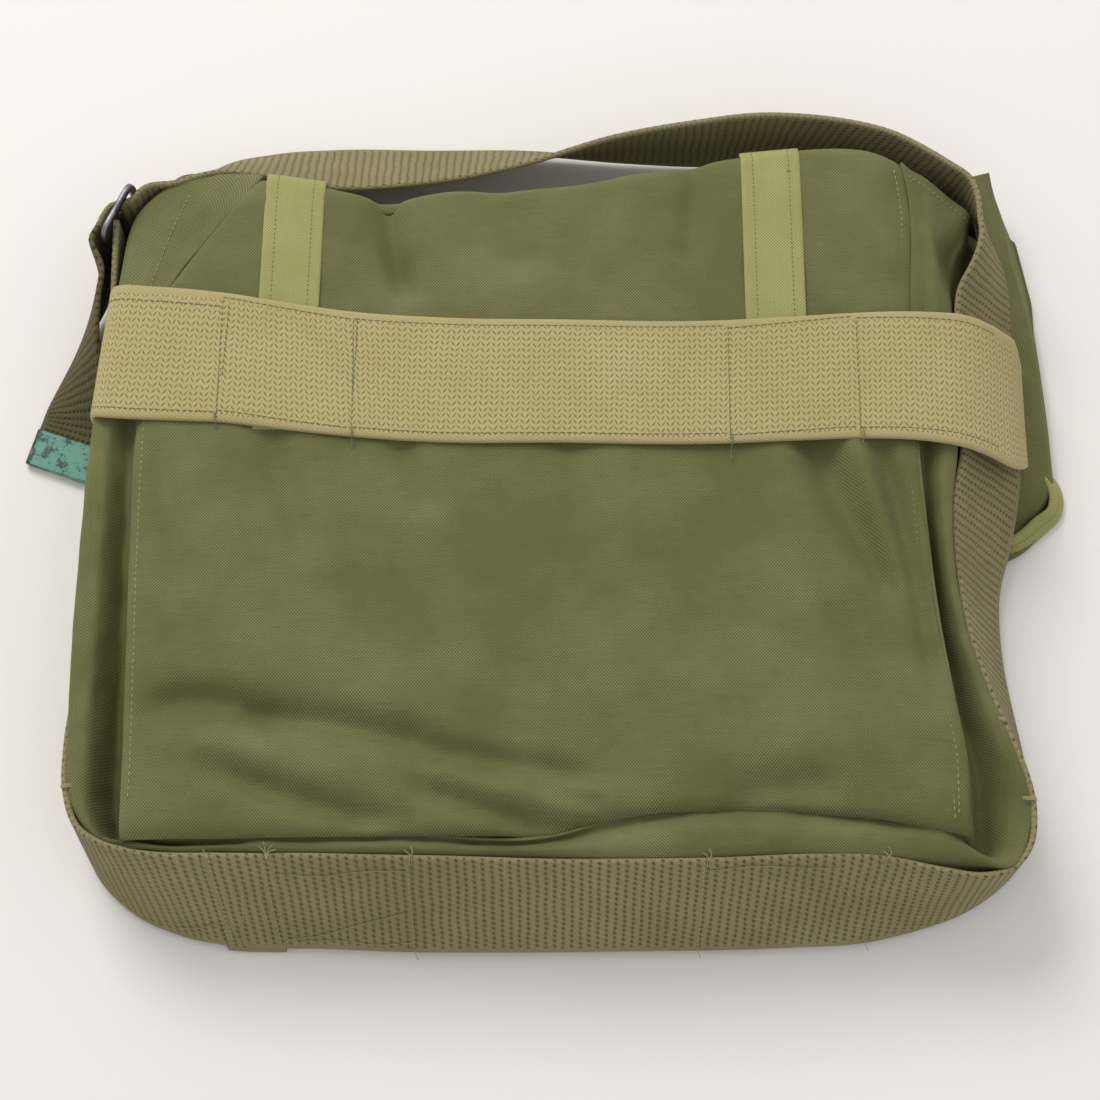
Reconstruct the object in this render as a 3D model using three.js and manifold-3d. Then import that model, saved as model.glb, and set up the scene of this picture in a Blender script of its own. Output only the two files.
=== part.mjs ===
// A canvas camera bag with a web shoulder strap, lying on its front with its back panel up.
// Millimetres. +Z is up out of the back panel, +Y runs to the mouth of the bag, +X to the right.
// The bag stands on nothing: it rests flat, so the origin is under the middle of its bounding box.
import * as THREE from "three";
import { ConvexGeometry } from "three/addons/geometries/ConvexGeometry.js";
import { mergeVertices } from "three/addons/utils/BufferGeometryUtils.js";
import Module from "manifold-3d";

const wasm = await Module();
wasm.setup();

// ---------- Driving dimensions ----------
const GAP = 0.4; // clearance between two pieces that touch on the real bag
const LAP = 0.15; // how far the lengths of a webbing run into each other
const CANVAS = 1.4; // cotton duck with its seam allowance
const WEB = 2.4; // 50 mm shoulder strap and 56 mm belt band webbing
const TAPE = 1.5; // 25 mm closure webbing
const BACK_Z = 62; // outer face of the back panel
const MOUTH_Y = 145; // end of the bag's walls at the mouth
const SEAM_Z = 59.8; // where the back panel is sewn to the gusset
const CORNER = 40; // radius of the two bottom corners
const FRONT_LIFT_Z = 5.8; // the front panel's outer face where the lid lies under it
const BAND_LOW_Y = 16;
const BAND_HIGH_Y = 72;
const BAND_END_Z = 22; // how far down the sides the belt band is wrapped
const STRAP_LOW_Z = 9;
const STRAP_HIGH_Z = 54;
const SWING = { y: 98.4, z: 30 }; // the line that the carrying loop swings about
const PIVOT_RADIUS = 25; // half the shoulder strap's width
const LEFT_PIVOT_X = -181.6; // middle of the webbing at each end of the loop
const RIGHT_PIVOT_X = 189.9;
const LID_HEM_Y = -15;
const LID_LEFT_X = -160;
const LID_RIGHT_X = 216;
const LID_CORNER = 30;
const CLOSURES = { left: -104.5, right: 96.5 }; // centre lines of the closure straps
const CLOSURE_WIDTH = 25;
const TAB_END_Y = -46;
const SNAP_Y = -32;
const DIVIDER_X = 52;
const DIVIDER_THICKNESS = 5;
const BAND_SIDES_X = [-184, 192]; // where the belt band runs down the sides
const BAND_TOP_X = 162; // how far the band stays flat on each side of the middle
const BAND_SHOULDER_Z = 56; // where the band turns down
const STRAP_LAP_X = [-123, -102]; // the strap's lapped ends, under the bag's bottom edge
const CROWN_SIDES_X = [-151, 198];
const EAR_FOLD = [199, 21]; // X and Z of the right ear's free edge
const LEFT_EAR_X = -169.5; // free edge of the left ear
const ORIGIN_SHIFT = new THREE.Vector3(0.2, -2.15, 0); // puts the origin under the bounding box's middle

// ---------- Materials ----------
function cloth(color, roughness = 0.95) {
  return new THREE.MeshStandardMaterial({ color, roughness, metalness: 0 });
}

function metal(color, roughness) {
  return new THREE.MeshStandardMaterial({ color, roughness, metalness: 1 });
}

const canvas = cloth("#6b7248");
const darkWeb = cloth("#6d6547");
const tanWeb = cloth("#b3a773");
const paleWeb = cloth("#a3ab6b");
const felt = cloth("#4d4a3a");
const board = cloth("#6b5a41", 0.85);
const steel = metal("#6e6d6c", 0.5);
const brass = metal("#8d7f52", 0.45);

// ---------- Solids ----------
function toSolid(geometry) {
  const plain = new THREE.BufferGeometry();
  plain.setAttribute("position", geometry.getAttribute("position"));
  if (geometry.index) plain.setIndex(geometry.index);
  const merged = mergeVertices(plain, 1e-3);
  const vertProperties = new Float32Array(merged.attributes.position.array);
  const triVerts = new Uint32Array(merged.index.array);
  return new wasm.Manifold(new wasm.Mesh({ numProp: 3, vertProperties, triVerts }));
}

function toGeometry(solid) {
  const { vertProperties, triVerts } = solid.getMesh();
  const geometry = new THREE.BufferGeometry();
  geometry.setAttribute("position", new THREE.BufferAttribute(vertProperties, 3));
  geometry.setIndex(new THREE.BufferAttribute(triVerts, 1));
  return geometry;
}

// A box between two corners.
function block(low, high) {
  const size = high.map((value, i) => value - low[i]);
  const box = new THREE.BoxGeometry(...size);
  box.translate(...low.map((value, i) => value + size[i] / 2));
  return box;
}

// A flat outline in the YZ plane, extruded along X.
function acrossX(outline, lowX, highX) {
  const shape = new THREE.Shape(outline.map(([y, z]) => new THREE.Vector2(y, z)));
  const solid = new THREE.ExtrudeGeometry(shape, { depth: highX - lowX, bevelEnabled: false });
  solid.applyMatrix4(new THREE.Matrix4().set(0, 0, 1, lowX, 1, 0, 0, 0, 0, 1, 0, 0, 0, 0, 0, 1));
  return solid;
}

// A flat outline in the XZ plane, extruded along Y.
function acrossY(outline, lowY, highY) {
  const shape = new THREE.Shape(outline.map(([x, z]) => new THREE.Vector2(x, z)));
  const solid = new THREE.ExtrudeGeometry(shape, { depth: highY - lowY, bevelEnabled: false });
  solid.rotateX(Math.PI / 2);
  return solid.translate(0, highY, 0);
}

// The outline of an open path given a thickness to its left.
function thicken(path, thickness) {
  const points = path.map(([a, b]) => new THREE.Vector2(a, b));
  const normals = points.slice(1).map((p, i) => {
    const along = p.clone().sub(points[i]).normalize();
    return new THREE.Vector2(-along.y, along.x);
  });
  const offset = points.map((p, i) => {
    const before = normals[Math.max(i - 1, 0)];
    const after = normals[Math.min(i, normals.length - 1)];
    const mitre = before.clone().add(after).normalize();
    return p.clone().addScaledVector(mitre, thickness / mitre.dot(before));
  });
  return [...points, ...offset.reverse()].map((p) => [p.x, p.y]);
}

// Webbing along a row of sections. Each section gives its lower and upper edge; neighbouring sections
// are joined by the convex hull of their corners, so the webbing may lean and twist. The hulls lap by
// a little.
function webRun(sections, thickness) {
  const edges = sections.map(({ low, high }) => [new THREE.Vector3(...low), new THREE.Vector3(...high)]);
  const middles = edges.map(([low, high]) => low.clone().add(high).multiplyScalar(0.5));
  const frames = edges.map(([low, high], i) => {
    const ahead = middles[Math.min(i + 1, middles.length - 1)].clone();
    const along = ahead.sub(middles[Math.max(i - 1, 0)]).normalize();
    const side = along.clone().cross(high.clone().sub(low)).normalize().multiplyScalar(thickness / 2);
    return { low, high, along, side };
  });
  const corners = ({ low, high, along, side }, lap) =>
    [low, high].flatMap((p) =>
      [1, -1].map((sign) => p.clone().addScaledVector(side, sign).addScaledVector(along, lap)),
    );
  const last = frames.length - 1;
  const lengths = frames.slice(1).map((next, i) => {
    const start = corners(frames[i], i === 0 ? 0 : -LAP);
    const end = corners(next, i + 1 === last ? 0 : LAP);
    return toSolid(new ConvexGeometry([...start, ...end]));
  });
  return lengths.reduce((whole, length) => whole.add(length));
}

// ---------- The bag's own shape ----------
// Outlines of the collapsed bag at five heights. The gusset bulges out half way down, the left side
// tapers towards the mouth, and both corners beside the mouth are cut off where the canvas falls in.
const OUTLINES = [
  { z: BACK_Z, left: -160, leftAtMouth: -158, right: 158, bottom: -143, cut: 22 },
  { z: 48, left: -178, leftAtMouth: -172, right: 180, bottom: -152, cut: 26 },
  { z: 30, left: -186, leftAtMouth: -178, right: 188, bottom: -164, cut: 28 },
  { z: 12, left: -180, leftAtMouth: -174, right: 182, bottom: -174, cut: 27 },
  { z: 0.3, left: -170, leftAtMouth: -166, right: 170, bottom: -166, cut: 24 },
];
const CUT_START_Y = 88;

function bagHull(grow) {
  const points = [];
  OUTLINES.forEach(({ z, left, leftAtMouth, right, bottom, cut }) => {
    const height = z + grow * (z === BACK_Z ? 1 : z < 1 ? -1 : 0);
    const add = (x, y) => points.push(new THREE.Vector3(x, y, height));
    const west = left - grow;
    const east = right + grow;
    const south = bottom - grow;
    for (let step = 0; step <= 5; step++) {
      const angle = (step / 5) * (Math.PI / 2);
      const drop = CORNER * (1 - Math.sin(angle));
      const inset = CORNER * (1 - Math.cos(angle));
      add(west + inset, south + drop);
      add(east - inset, south + drop);
    }
    add(leftAtMouth - grow, CUT_START_Y);
    add(east, CUT_START_Y);
    add(leftAtMouth + cut - grow, MOUTH_Y + grow);
    add(east - cut, MOUTH_Y + grow);
  });
  return toSolid(new ConvexGeometry(points));
}

const FAR = 400; // larger than the bag, for cutting blocks
const outer = bagHull(0);
const shell = outer.subtract(bagHull(-CANVAS));

// Everything below the front panel's inner face: flat on the floor at the bottom of the bag, and
// lifted over the lid.
const frontPath = [
  [-FAR, 0.3],
  [-84, 0.3],
  [-60, FRONT_LIFT_Z],
  [FAR, FRONT_LIFT_Z],
];
const frontBand = toSolid(acrossX(thicken(frontPath, CANVAS), -FAR, FAR));
const belowFront = toSolid(
  acrossX(
    [...thicken(frontPath, CANVAS + GAP).slice(frontPath.length), [-FAR, -FAR], [FAR, -FAR]],
    -FAR,
    FAR,
  ),
);
const pastMouth = toSolid(block([-FAR, MOUTH_Y - CANVAS - 0.6, -FAR], [FAR, FAR, FAR]));

function backPanel() {
  const above = toSolid(block([-FAR, -FAR, SEAM_Z + GAP / 2], [FAR, MOUTH_Y, FAR]));
  return shell.intersect(above);
}

function frontPanel() {
  return frontBand.intersect(outer).subtract(pastMouth);
}

function gusset() {
  const below = toSolid(block([-FAR, -FAR, -FAR], [FAR, FAR, SEAM_Z - GAP / 2]));
  return shell.intersect(below).subtract(belowFront).subtract(pastMouth);
}

// The sewn-down part of the shoulder strap: up one side, under the bottom and up the other.
function strapCradle() {
  const layer = bagHull(GAP + WEB).subtract(bagHull(GAP));
  const end = SWING.y - PIVOT_RADIUS - GAP;
  return layer.intersect(toSolid(block([-FAR, -FAR, STRAP_LOW_Z], [FAR, end, STRAP_HIGH_Z])));
}

// The strap's two ends lap here, and the lap is box-stitched.
function strapLap() {
  const layer = bagHull(2 * GAP + WEB + TAPE).subtract(bagHull(2 * GAP + WEB));
  const [leftX, rightX] = STRAP_LAP_X;
  const low = [leftX, -FAR, STRAP_LOW_Z - 2 * TAPE];
  const high = [rightX, -FAR / 4, STRAP_HIGH_Z - 2];
  return layer.intersect(toSolid(block(low, high)));
}

// The wide band lies across the back over the closure straps and wraps down over the strap at both
// sides.
function beltBand() {
  const crownZ = BACK_Z + 2 * GAP + TAPE;
  const [leftX, rightX] = BAND_SIDES_X;
  const path = [
    [rightX, BAND_END_Z],
    [rightX, BAND_SHOULDER_Z],
    [BAND_TOP_X, crownZ],
    [-BAND_TOP_X, crownZ],
    [leftX, BAND_SHOULDER_Z],
    [leftX, BAND_END_Z],
  ];
  return acrossY(thicken(path, -WEB), BAND_LOW_Y, BAND_HIGH_Y);
}

// ---------- Lid ----------
// The lid's crown closes the mouth and its front lies under the bag. Its crown is low at the right,
// where the shoulder strap passes over it.
const CROWN_Y = MOUTH_Y + 1.4;
const LID_Z = TAPE + GAP;

function lidCrown() {
  const [leftX, rightX] = CROWN_SIDES_X;
  const low = LID_Z + CANVAS + GAP;
  const outline = [
    [leftX, low],
    [rightX, low],
    [rightX, 17],
    [170, 17],
    [158, 30],
    [150, SEAM_Z + 2 * GAP],
    [leftX, SEAM_Z + 2 * GAP],
  ];
  return acrossY(outline, CROWN_Y, CROWN_Y + CANVAS);
}

function lidFront() {
  const far = CROWN_Y + CANVAS;
  const sheet = new THREE.Shape().moveTo(LID_LEFT_X, far).lineTo(LID_LEFT_X, LID_HEM_Y);
  sheet.lineTo(LID_RIGHT_X - LID_CORNER, LID_HEM_Y);
  sheet.absarc(LID_RIGHT_X - LID_CORNER, LID_HEM_Y + LID_CORNER, LID_CORNER, -Math.PI / 2, 0);
  sheet.lineTo(LID_RIGHT_X, far - LID_CORNER).lineTo(CROWN_SIDES_X[1], far);
  const solid = new THREE.ExtrudeGeometry(sheet, { depth: CANVAS, bevelEnabled: false, curveSegments: 10 });
  return solid.translate(0, 0, LID_Z);
}

// The right ear leans in over the lid's edge; the left one lies flat, pushed under the bag.
function rightEar() {
  const path = [
    [LID_RIGHT_X - 0.5, LID_Z + CANVAS + GAP],
    EAR_FOLD,
  ];
  return acrossY(thicken(path, -CANVAS), LID_HEM_Y + LID_CORNER, CROWN_Y - GAP);
}

function leftEar() {
  const low = [LEFT_EAR_X, LID_HEM_Y + LID_CORNER, LID_Z];
  return block(low, [LID_LEFT_X - GAP, CROWN_Y - GAP, LID_Z + CANVAS]);
}

function closureRear(x) {
  const half = CLOSURE_WIDTH / 2;
  return block([x - half, BAND_LOW_Y + 4, BACK_Z + GAP], [x + half, MOUTH_Y - 2, BACK_Z + GAP + TAPE]);
}

function closureCrown(x) {
  const half = CLOSURE_WIDTH / 2;
  const near = CROWN_Y + CANVAS + GAP;
  return block([x - half, near, TAPE + GAP], [x + half, near + TAPE, BACK_Z - 1]);
}

function closureFront(x) {
  const half = CLOSURE_WIDTH / 2;
  return block([x - half, LID_HEM_Y, 0], [x + half, CROWN_Y + CANVAS + GAP + TAPE, TAPE]);
}

// A short loop of closure webbing sewn into the lid's right corner.
function earLoop() {
  const sections = [
    { low: [219.5, 26, 1.2], high: [219.5, 26, 12] },
    { low: [222.2, 15, 1.2], high: [220.5, 15, 13] },
    { low: [220, 5, 1.2], high: [218.5, 6, 13] },
    { low: [214, -5, 1.2], high: [212.5, -3.5, 12] },
    { low: [206, -12.5, 1.2], high: [205, -11, 9] },
  ];
  return webRun(sections, TAPE);
}

// ---------- Closure tabs and snaps ----------
const TAB_Z = 1.9;

function closureTab(x) {
  const half = CLOSURE_WIDTH / 2;
  return block([x - half, TAB_END_Y, TAB_Z], [x + half, LID_HEM_Y - GAP, TAB_Z + TAPE]);
}

// A turned brass part on a vertical axis through x and the snap's place.
function turned(profile, x) {
  const lathe = new THREE.LatheGeometry(profile.map(([r, z]) => new THREE.Vector2(r, z)), 32);
  return lathe.rotateX(Math.PI / 2).translate(x, SNAP_Y, 0);
}

const snapCap = (x) => turned([[0, 0], [5.5, 0], [7.2, 0.5], [7.6, 1.5], [0, 1.5]], x);
const studProfile = [[0, 3.9], [3.2, 3.9], [3.4, 4.4], [2.8, 4.9], [6, 5], [6.2, 5.4], [0, 5.4]];
const snapStud = (x) => turned(studProfile, x);
const studWasher = (x) => turned([[1.2, 7.7], [6, 7.7], [6.2, 8.2], [2.4, 8.5], [1.2, 8.5], [1.2, 7.7]], x);

// ---------- Shoulder strap ----------
// The buckle stands on edge beside the mouth. Points beside it are given along the strap and away from
// the bag.
const BUCKLE = new THREE.Vector2(-180, 126);
const ALONG = new THREE.Vector2(0.39, 0.92).normalize();
const AWAY = new THREE.Vector2(-ALONG.y, ALONG.x);

function besideBuckle(along, away, lowZ = 5, highZ = 55) {
  const p = BUCKLE.clone().addScaledVector(ALONG, along).addScaledVector(AWAY, away);
  return { low: [p.x, p.y, lowZ], high: [p.x, p.y, highZ] };
}

function upright(x, y, lowZ = 5, highZ = 55) {
  return { low: [x, y, lowZ], high: [x, y, highZ] };
}

// The rounded end that lets the webbing turn about the swing line, under the belt band.
function pivotDisc(x) {
  const disc = new THREE.CylinderGeometry(PIVOT_RADIUS, PIVOT_RADIUS, WEB, 40);
  return toSolid(disc.rotateZ(Math.PI / 2).translate(x, SWING.y, SWING.z));
}

// The long strap: up the right side, round behind the mouth, and round the buckle's bar.
function strapLoop() {
  const sections = [
    upright(RIGHT_PIVOT_X, SWING.y),
    { low: [190.6, 124, 7], high: [188, 124, 57] },
    { low: [184, 148, 20.5], high: [175, 146.5, 69] },
    { low: [163, 168, 16], high: [157, 163, 64] },
    { low: [130, 178, 6], high: [128, 174, 55.5] },
    { low: [96, 181, 1.4], high: [97, 177, 51] },
    { low: [40, 181, 1.4], high: [39, 164, 47] },
    { low: [-8, 181, 1.4], high: [-8, 160, 46] },
    { low: [-62, 182, 1.4], high: [-62, 155, 43] },
    { low: [-120, 181, 1.4], high: [-120, 155.5, 43] },
    { low: [-150, 170, 1.8], high: [-149, 153, 48] },
    { low: [-166, 154, 3], high: [-165, 149, 52] },
    besideBuckle(17, -3.2),
    besideBuckle(9, -3),
    besideBuckle(6, 2.5),
    besideBuckle(2.2, 4.6),
    besideBuckle(-8, 4.6),
  ];
  return webRun(sections, WEB).add(pivotDisc(RIGHT_PIVOT_X));
}

// The short strap that holds the buckle by its bar.
function buckleChape() {
  const sections = [
    upright(LEFT_PIVOT_X, SWING.y),
    upright(LEFT_PIVOT_X, 121.8),
  ];
  return webRun(sections, WEB).add(pivotDisc(LEFT_PIVOT_X));
}

function strapTail() {
  const sections = [
    besideBuckle(-9.8, 4.6),
    besideBuckle(-16, 4.2),
    { low: [-197, 103, 3], high: [-189, 101, 52] },
    { low: [-205, 88, 2], high: [-190, 90, 49] },
    { low: [-214, 66, 1.5], high: [-190.5, 73, 42] },
    { low: [-217.4, 55, 1.5], high: [-189, 56, 22] },
    { low: [-219.3, 47.8, 1.5], high: [-176.5, 30, 2.6] },
  ];
  return webRun(sections, WEB);
}

// The brass end of the strap: a folded shell, open where the webbing goes in.
function tailTip() {
  const sections = [
    { low: [-219.8, 47, 1.75], high: [-176.6, 28.8, 2.6] },
    { low: [-223.3, 33.6, 1.75], high: [-179.6, 15.2, 2.6] },
  ];
  return webRun(sections, WEB + 1);
}

const BUCKLE_LENGTH = 29;
const BUCKLE_HEIGHT = 58;
const BUCKLE_RIM = 3.2;
const BUCKLE_THICKNESS = 2.6;

// Stands a shape drawn in its own X (along the strap) and Y (up) beside the mouth.
function standAtBuckle(geometry) {
  const basis = new THREE.Matrix4().set(
    ALONG.x, 0, -AWAY.x, BUCKLE.x,
    ALONG.y, 0, -AWAY.y, BUCKLE.y,
    0, 1, 0, 30,
    0, 0, 0, 1,
  );
  return geometry.applyMatrix4(basis);
}

function roundedRectangle(width, height, radius, path = new THREE.Shape()) {
  const x = width / 2;
  const y = height / 2;
  path.moveTo(-x + radius, -y).lineTo(x - radius, -y);
  path.absarc(x - radius, -y + radius, radius, -Math.PI / 2, 0);
  path.lineTo(x, y - radius).absarc(x - radius, y - radius, radius, 0, Math.PI / 2);
  path.lineTo(-x + radius, y).absarc(-x + radius, y - radius, radius, Math.PI / 2, Math.PI);
  path.lineTo(-x, -y + radius).absarc(-x + radius, -y + radius, radius, Math.PI, 1.5 * Math.PI);
  return path;
}

function buckleFrame() {
  const rim = roundedRectangle(BUCKLE_LENGTH, BUCKLE_HEIGHT, 5);
  const inside = [BUCKLE_LENGTH - 2 * BUCKLE_RIM, BUCKLE_HEIGHT - 2 * BUCKLE_RIM];
  rim.holes.push(roundedRectangle(...inside, 2.5, new THREE.Path()));
  const frame = new THREE.ExtrudeGeometry(rim, {
    depth: BUCKLE_THICKNESS - 1,
    bevelThickness: 0.5,
    bevelSize: 0.5,
    bevelOffset: -0.5,
    bevelSegments: 1,
    curveSegments: 4,
  });
  return standAtBuckle(frame.translate(0, 0, -BUCKLE_THICKNESS / 2 + 0.5));
}

function buckleBar() {
  const length = BUCKLE_HEIGHT - 2 * BUCKLE_RIM - 2 * GAP;
  return standAtBuckle(new THREE.CylinderGeometry(1.5, 1.5, length, 20));
}

// ---------- Inside ----------
function divider(x) {
  const half = DIVIDER_THICKNESS / 2;
  return block([x - half, -134, FRONT_LIFT_Z + CANVAS + GAP], [x + half, 92, BACK_Z - CANVAS - GAP]);
}

function bottomStiffener() {
  return block([-146, -146, 9], [146, -143.5, 48]);
}

// ---------- Assembly ----------
const bag = new THREE.Group();
bag.position.copy(ORIGIN_SHIFT);

function piece(name, shape, material) {
  const geometry = shape.isBufferGeometry ? shape : toGeometry(shape);
  const mesh = new THREE.Mesh(geometry, material);
  mesh.name = name;
  bag.add(mesh);
}

piece("back_panel", backPanel(), canvas);
piece("front_panel", frontPanel(), canvas);
piece("gusset", gusset(), canvas);
piece("belt_band", beltBand(), tanWeb);
piece("strap_cradle", strapCradle(), darkWeb);
piece("strap_lap", strapLap(), darkWeb);
piece("bottom_stiffener", bottomStiffener(), board);
piece("divider_left", divider(-DIVIDER_X), felt);
piece("divider_right", divider(DIVIDER_X), felt);
piece("lid_crown", lidCrown(), canvas);
piece("lid_front", lidFront(), canvas);
piece("lid_ear_left", leftEar(), canvas);
piece("lid_ear_right", rightEar(), canvas);
piece("ear_loop", earLoop(), paleWeb);
for (const [side, x] of Object.entries(CLOSURES)) {
  piece(`closure_rear_${side}`, closureRear(x), paleWeb);
  piece(`closure_crown_${side}`, closureCrown(x), paleWeb);
  piece(`closure_front_${side}`, closureFront(x), paleWeb);
  piece(`closure_tab_${side}`, closureTab(x), paleWeb);
  piece(`snap_cap_${side}`, snapCap(x), brass);
  piece(`snap_stud_${side}`, snapStud(x), brass);
  piece(`stud_washer_${side}`, studWasher(x), brass);
}
piece("strap_loop", strapLoop(), darkWeb);
piece("buckle_chape", buckleChape(), darkWeb);
piece("buckle_frame", buckleFrame(), steel);
piece("buckle_bar", buckleBar(), steel);
piece("strap_tail", strapTail(), darkWeb);
piece("tail_tip", tailTip(), brass);

export default bag;
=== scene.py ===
"""A washed canvas camera bag with webbing straps, lying on its front with its back panel up."""

import logging
import math
from dataclasses import dataclass, field
from enum import Enum
from typing import Callable, Sequence

import bmesh
import bpy
import numpy as np
from mathutils import Matrix, Vector, noise


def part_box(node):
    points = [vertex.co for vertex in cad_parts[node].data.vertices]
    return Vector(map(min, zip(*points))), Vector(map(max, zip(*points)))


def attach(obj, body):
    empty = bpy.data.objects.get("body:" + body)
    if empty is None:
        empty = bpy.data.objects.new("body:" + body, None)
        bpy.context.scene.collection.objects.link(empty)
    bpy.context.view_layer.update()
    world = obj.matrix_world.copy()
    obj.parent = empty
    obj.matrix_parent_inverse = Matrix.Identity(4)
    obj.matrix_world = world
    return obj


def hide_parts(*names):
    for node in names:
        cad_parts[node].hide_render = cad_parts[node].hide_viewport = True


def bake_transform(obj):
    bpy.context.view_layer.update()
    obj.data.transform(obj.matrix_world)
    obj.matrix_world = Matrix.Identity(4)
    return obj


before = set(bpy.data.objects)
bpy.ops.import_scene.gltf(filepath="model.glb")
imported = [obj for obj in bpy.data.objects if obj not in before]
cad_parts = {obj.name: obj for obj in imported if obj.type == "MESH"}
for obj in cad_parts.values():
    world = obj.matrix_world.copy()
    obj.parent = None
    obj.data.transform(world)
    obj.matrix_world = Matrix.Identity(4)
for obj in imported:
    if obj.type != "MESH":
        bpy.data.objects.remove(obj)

LOG = logging.getLogger("camera_bag")
MM = 0.001
Place = Callable[[np.ndarray, np.ndarray], np.ndarray]

# ---------------------------------------------------------------------------------------------------------------
# Numbers and shapes
# ---------------------------------------------------------------------------------------------------------------


def to_linear(code: str) -> tuple[float, float, float, float]:
    """Turn an sRGB hex colour into linear light.

    Args:
        code: The colour as "#rrggbb".

    Returns:
        Red, green, blue and an alpha of 1, in linear light.
    """
    parts = [int(code[i : i + 2], 16) / 255 for i in (1, 3, 5)]
    linear = [c / 12.92 if c <= 0.04045 else ((c + 0.055) / 1.055) ** 2.4 for c in parts]
    return (linear[0], linear[1], linear[2], 1.0)


def smooth(low: float, high: float, value: np.ndarray) -> np.ndarray:
    """Rise smoothly from 0 at low to 1 at high.

    Args:
        low: Where the rise starts.
        high: Where the rise ends.
        value: Where it is wanted.

    Returns:
        The share of the rise at each value.
    """
    t = np.clip((value - low) / (high - low), 0, 1)
    return t * t * (3 - 2 * t)


def bump_at(value: np.ndarray, centre: float, width: float) -> np.ndarray:
    """Give a bell of height 1.

    Args:
        value: Where it is wanted.
        centre: Middle of the bell.
        width: Half its width at about a third of its height.

    Returns:
        The bell's height at each value.
    """
    return np.exp(-(((value - centre) / width) ** 2))


def crease(
    x: np.ndarray,
    y: np.ndarray,
    start: tuple[float, float],
    end: tuple[float, float],
    width: float,
    sag: float = 0.0,
) -> np.ndarray:
    """Give the depth share of a fold that runs between two points of a cloth and fades at its ends.

    Args:
        x: Across, in millimetres.
        y: Along, in millimetres.
        start: One end of the fold.
        end: Its other end.
        width: Half the fold's width.
        sag: How far the fold's middle bows to the side.

    Returns:
        A share from 0 to 1 at each point.
    """
    a = np.array(start, float)
    d = np.array(end, float) - a
    length = float(np.hypot(*d))
    along = ((x - a[0]) * d[0] + (y - a[1]) * d[1]) / length
    side = ((x - a[0]) * -d[1] + (y - a[1]) * d[0]) / length
    share = along / length
    side = side - sag * 4 * share * (1 - share)
    fade = smooth(-0.12, 0.22, share) * (1 - smooth(0.78, 1.12, share))
    return fade * np.exp(-((side / width) ** 2))


def cloudy(points: np.ndarray, size: float, seed: float = 0.0) -> np.ndarray:
    """Give smooth seeded noise at each point.

    Args:
        points: Rows of x, y, z.
        size: Distance between the noise's humps, in the points' own unit.
        seed: Moves the noise.

    Returns:
        Values from about -1 to 1.
    """
    shift = Vector((seed * 13.7, seed * 7.3, seed * 3.1))
    return np.array([noise.noise(Vector(p) / size + shift) for p in points])


def spline(knots: np.ndarray, values: np.ndarray, t: np.ndarray) -> np.ndarray:
    """Run a smooth curve through rows of values, without overshoot beyond a Catmull-Rom curve's own.

    Args:
        knots: Rising parameter of each row.
        values: One row for each knot.
        t: Parameters where the curve is wanted.

    Returns:
        One row for each t.
    """
    slope = np.gradient(values, knots, axis=0)
    i = np.clip(np.searchsorted(knots, t) - 1, 0, len(knots) - 2)
    h = (knots[i + 1] - knots[i])[:, None]
    s = ((t - knots[i]) / (knots[i + 1] - knots[i]))[:, None]
    s2, s3 = s * s, s * s * s
    return (
        (2 * s3 - 3 * s2 + 1) * values[i]
        + (s3 - 2 * s2 + s) * h * slope[i]
        + (3 * s2 - 2 * s3) * values[i + 1]
        + (s3 - s2) * h * slope[i + 1]
    )


def new_object(name: str, bm: bmesh.types.BMesh, finish: bpy.types.Material, shade: bool = True) -> bpy.types.Object:
    """Turn a bmesh into an object that stands at the origin.

    Args:
        name: The piece's name.
        bm: Its mesh, in metres. It is freed.
        finish: Its material.
        shade: Whether its faces are shaded smooth.

    Returns:
        The new object.
    """
    mesh = bpy.data.meshes.new(name)
    bm.to_mesh(mesh)
    bm.free()
    mesh.materials.append(finish)
    if shade:
        mesh.shade_smooth()
    piece = bpy.data.objects.new(name, mesh)
    bpy.context.scene.collection.objects.link(piece)
    LOG.info("made %s: %d faces", name, len(mesh.polygons))
    return piece


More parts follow.
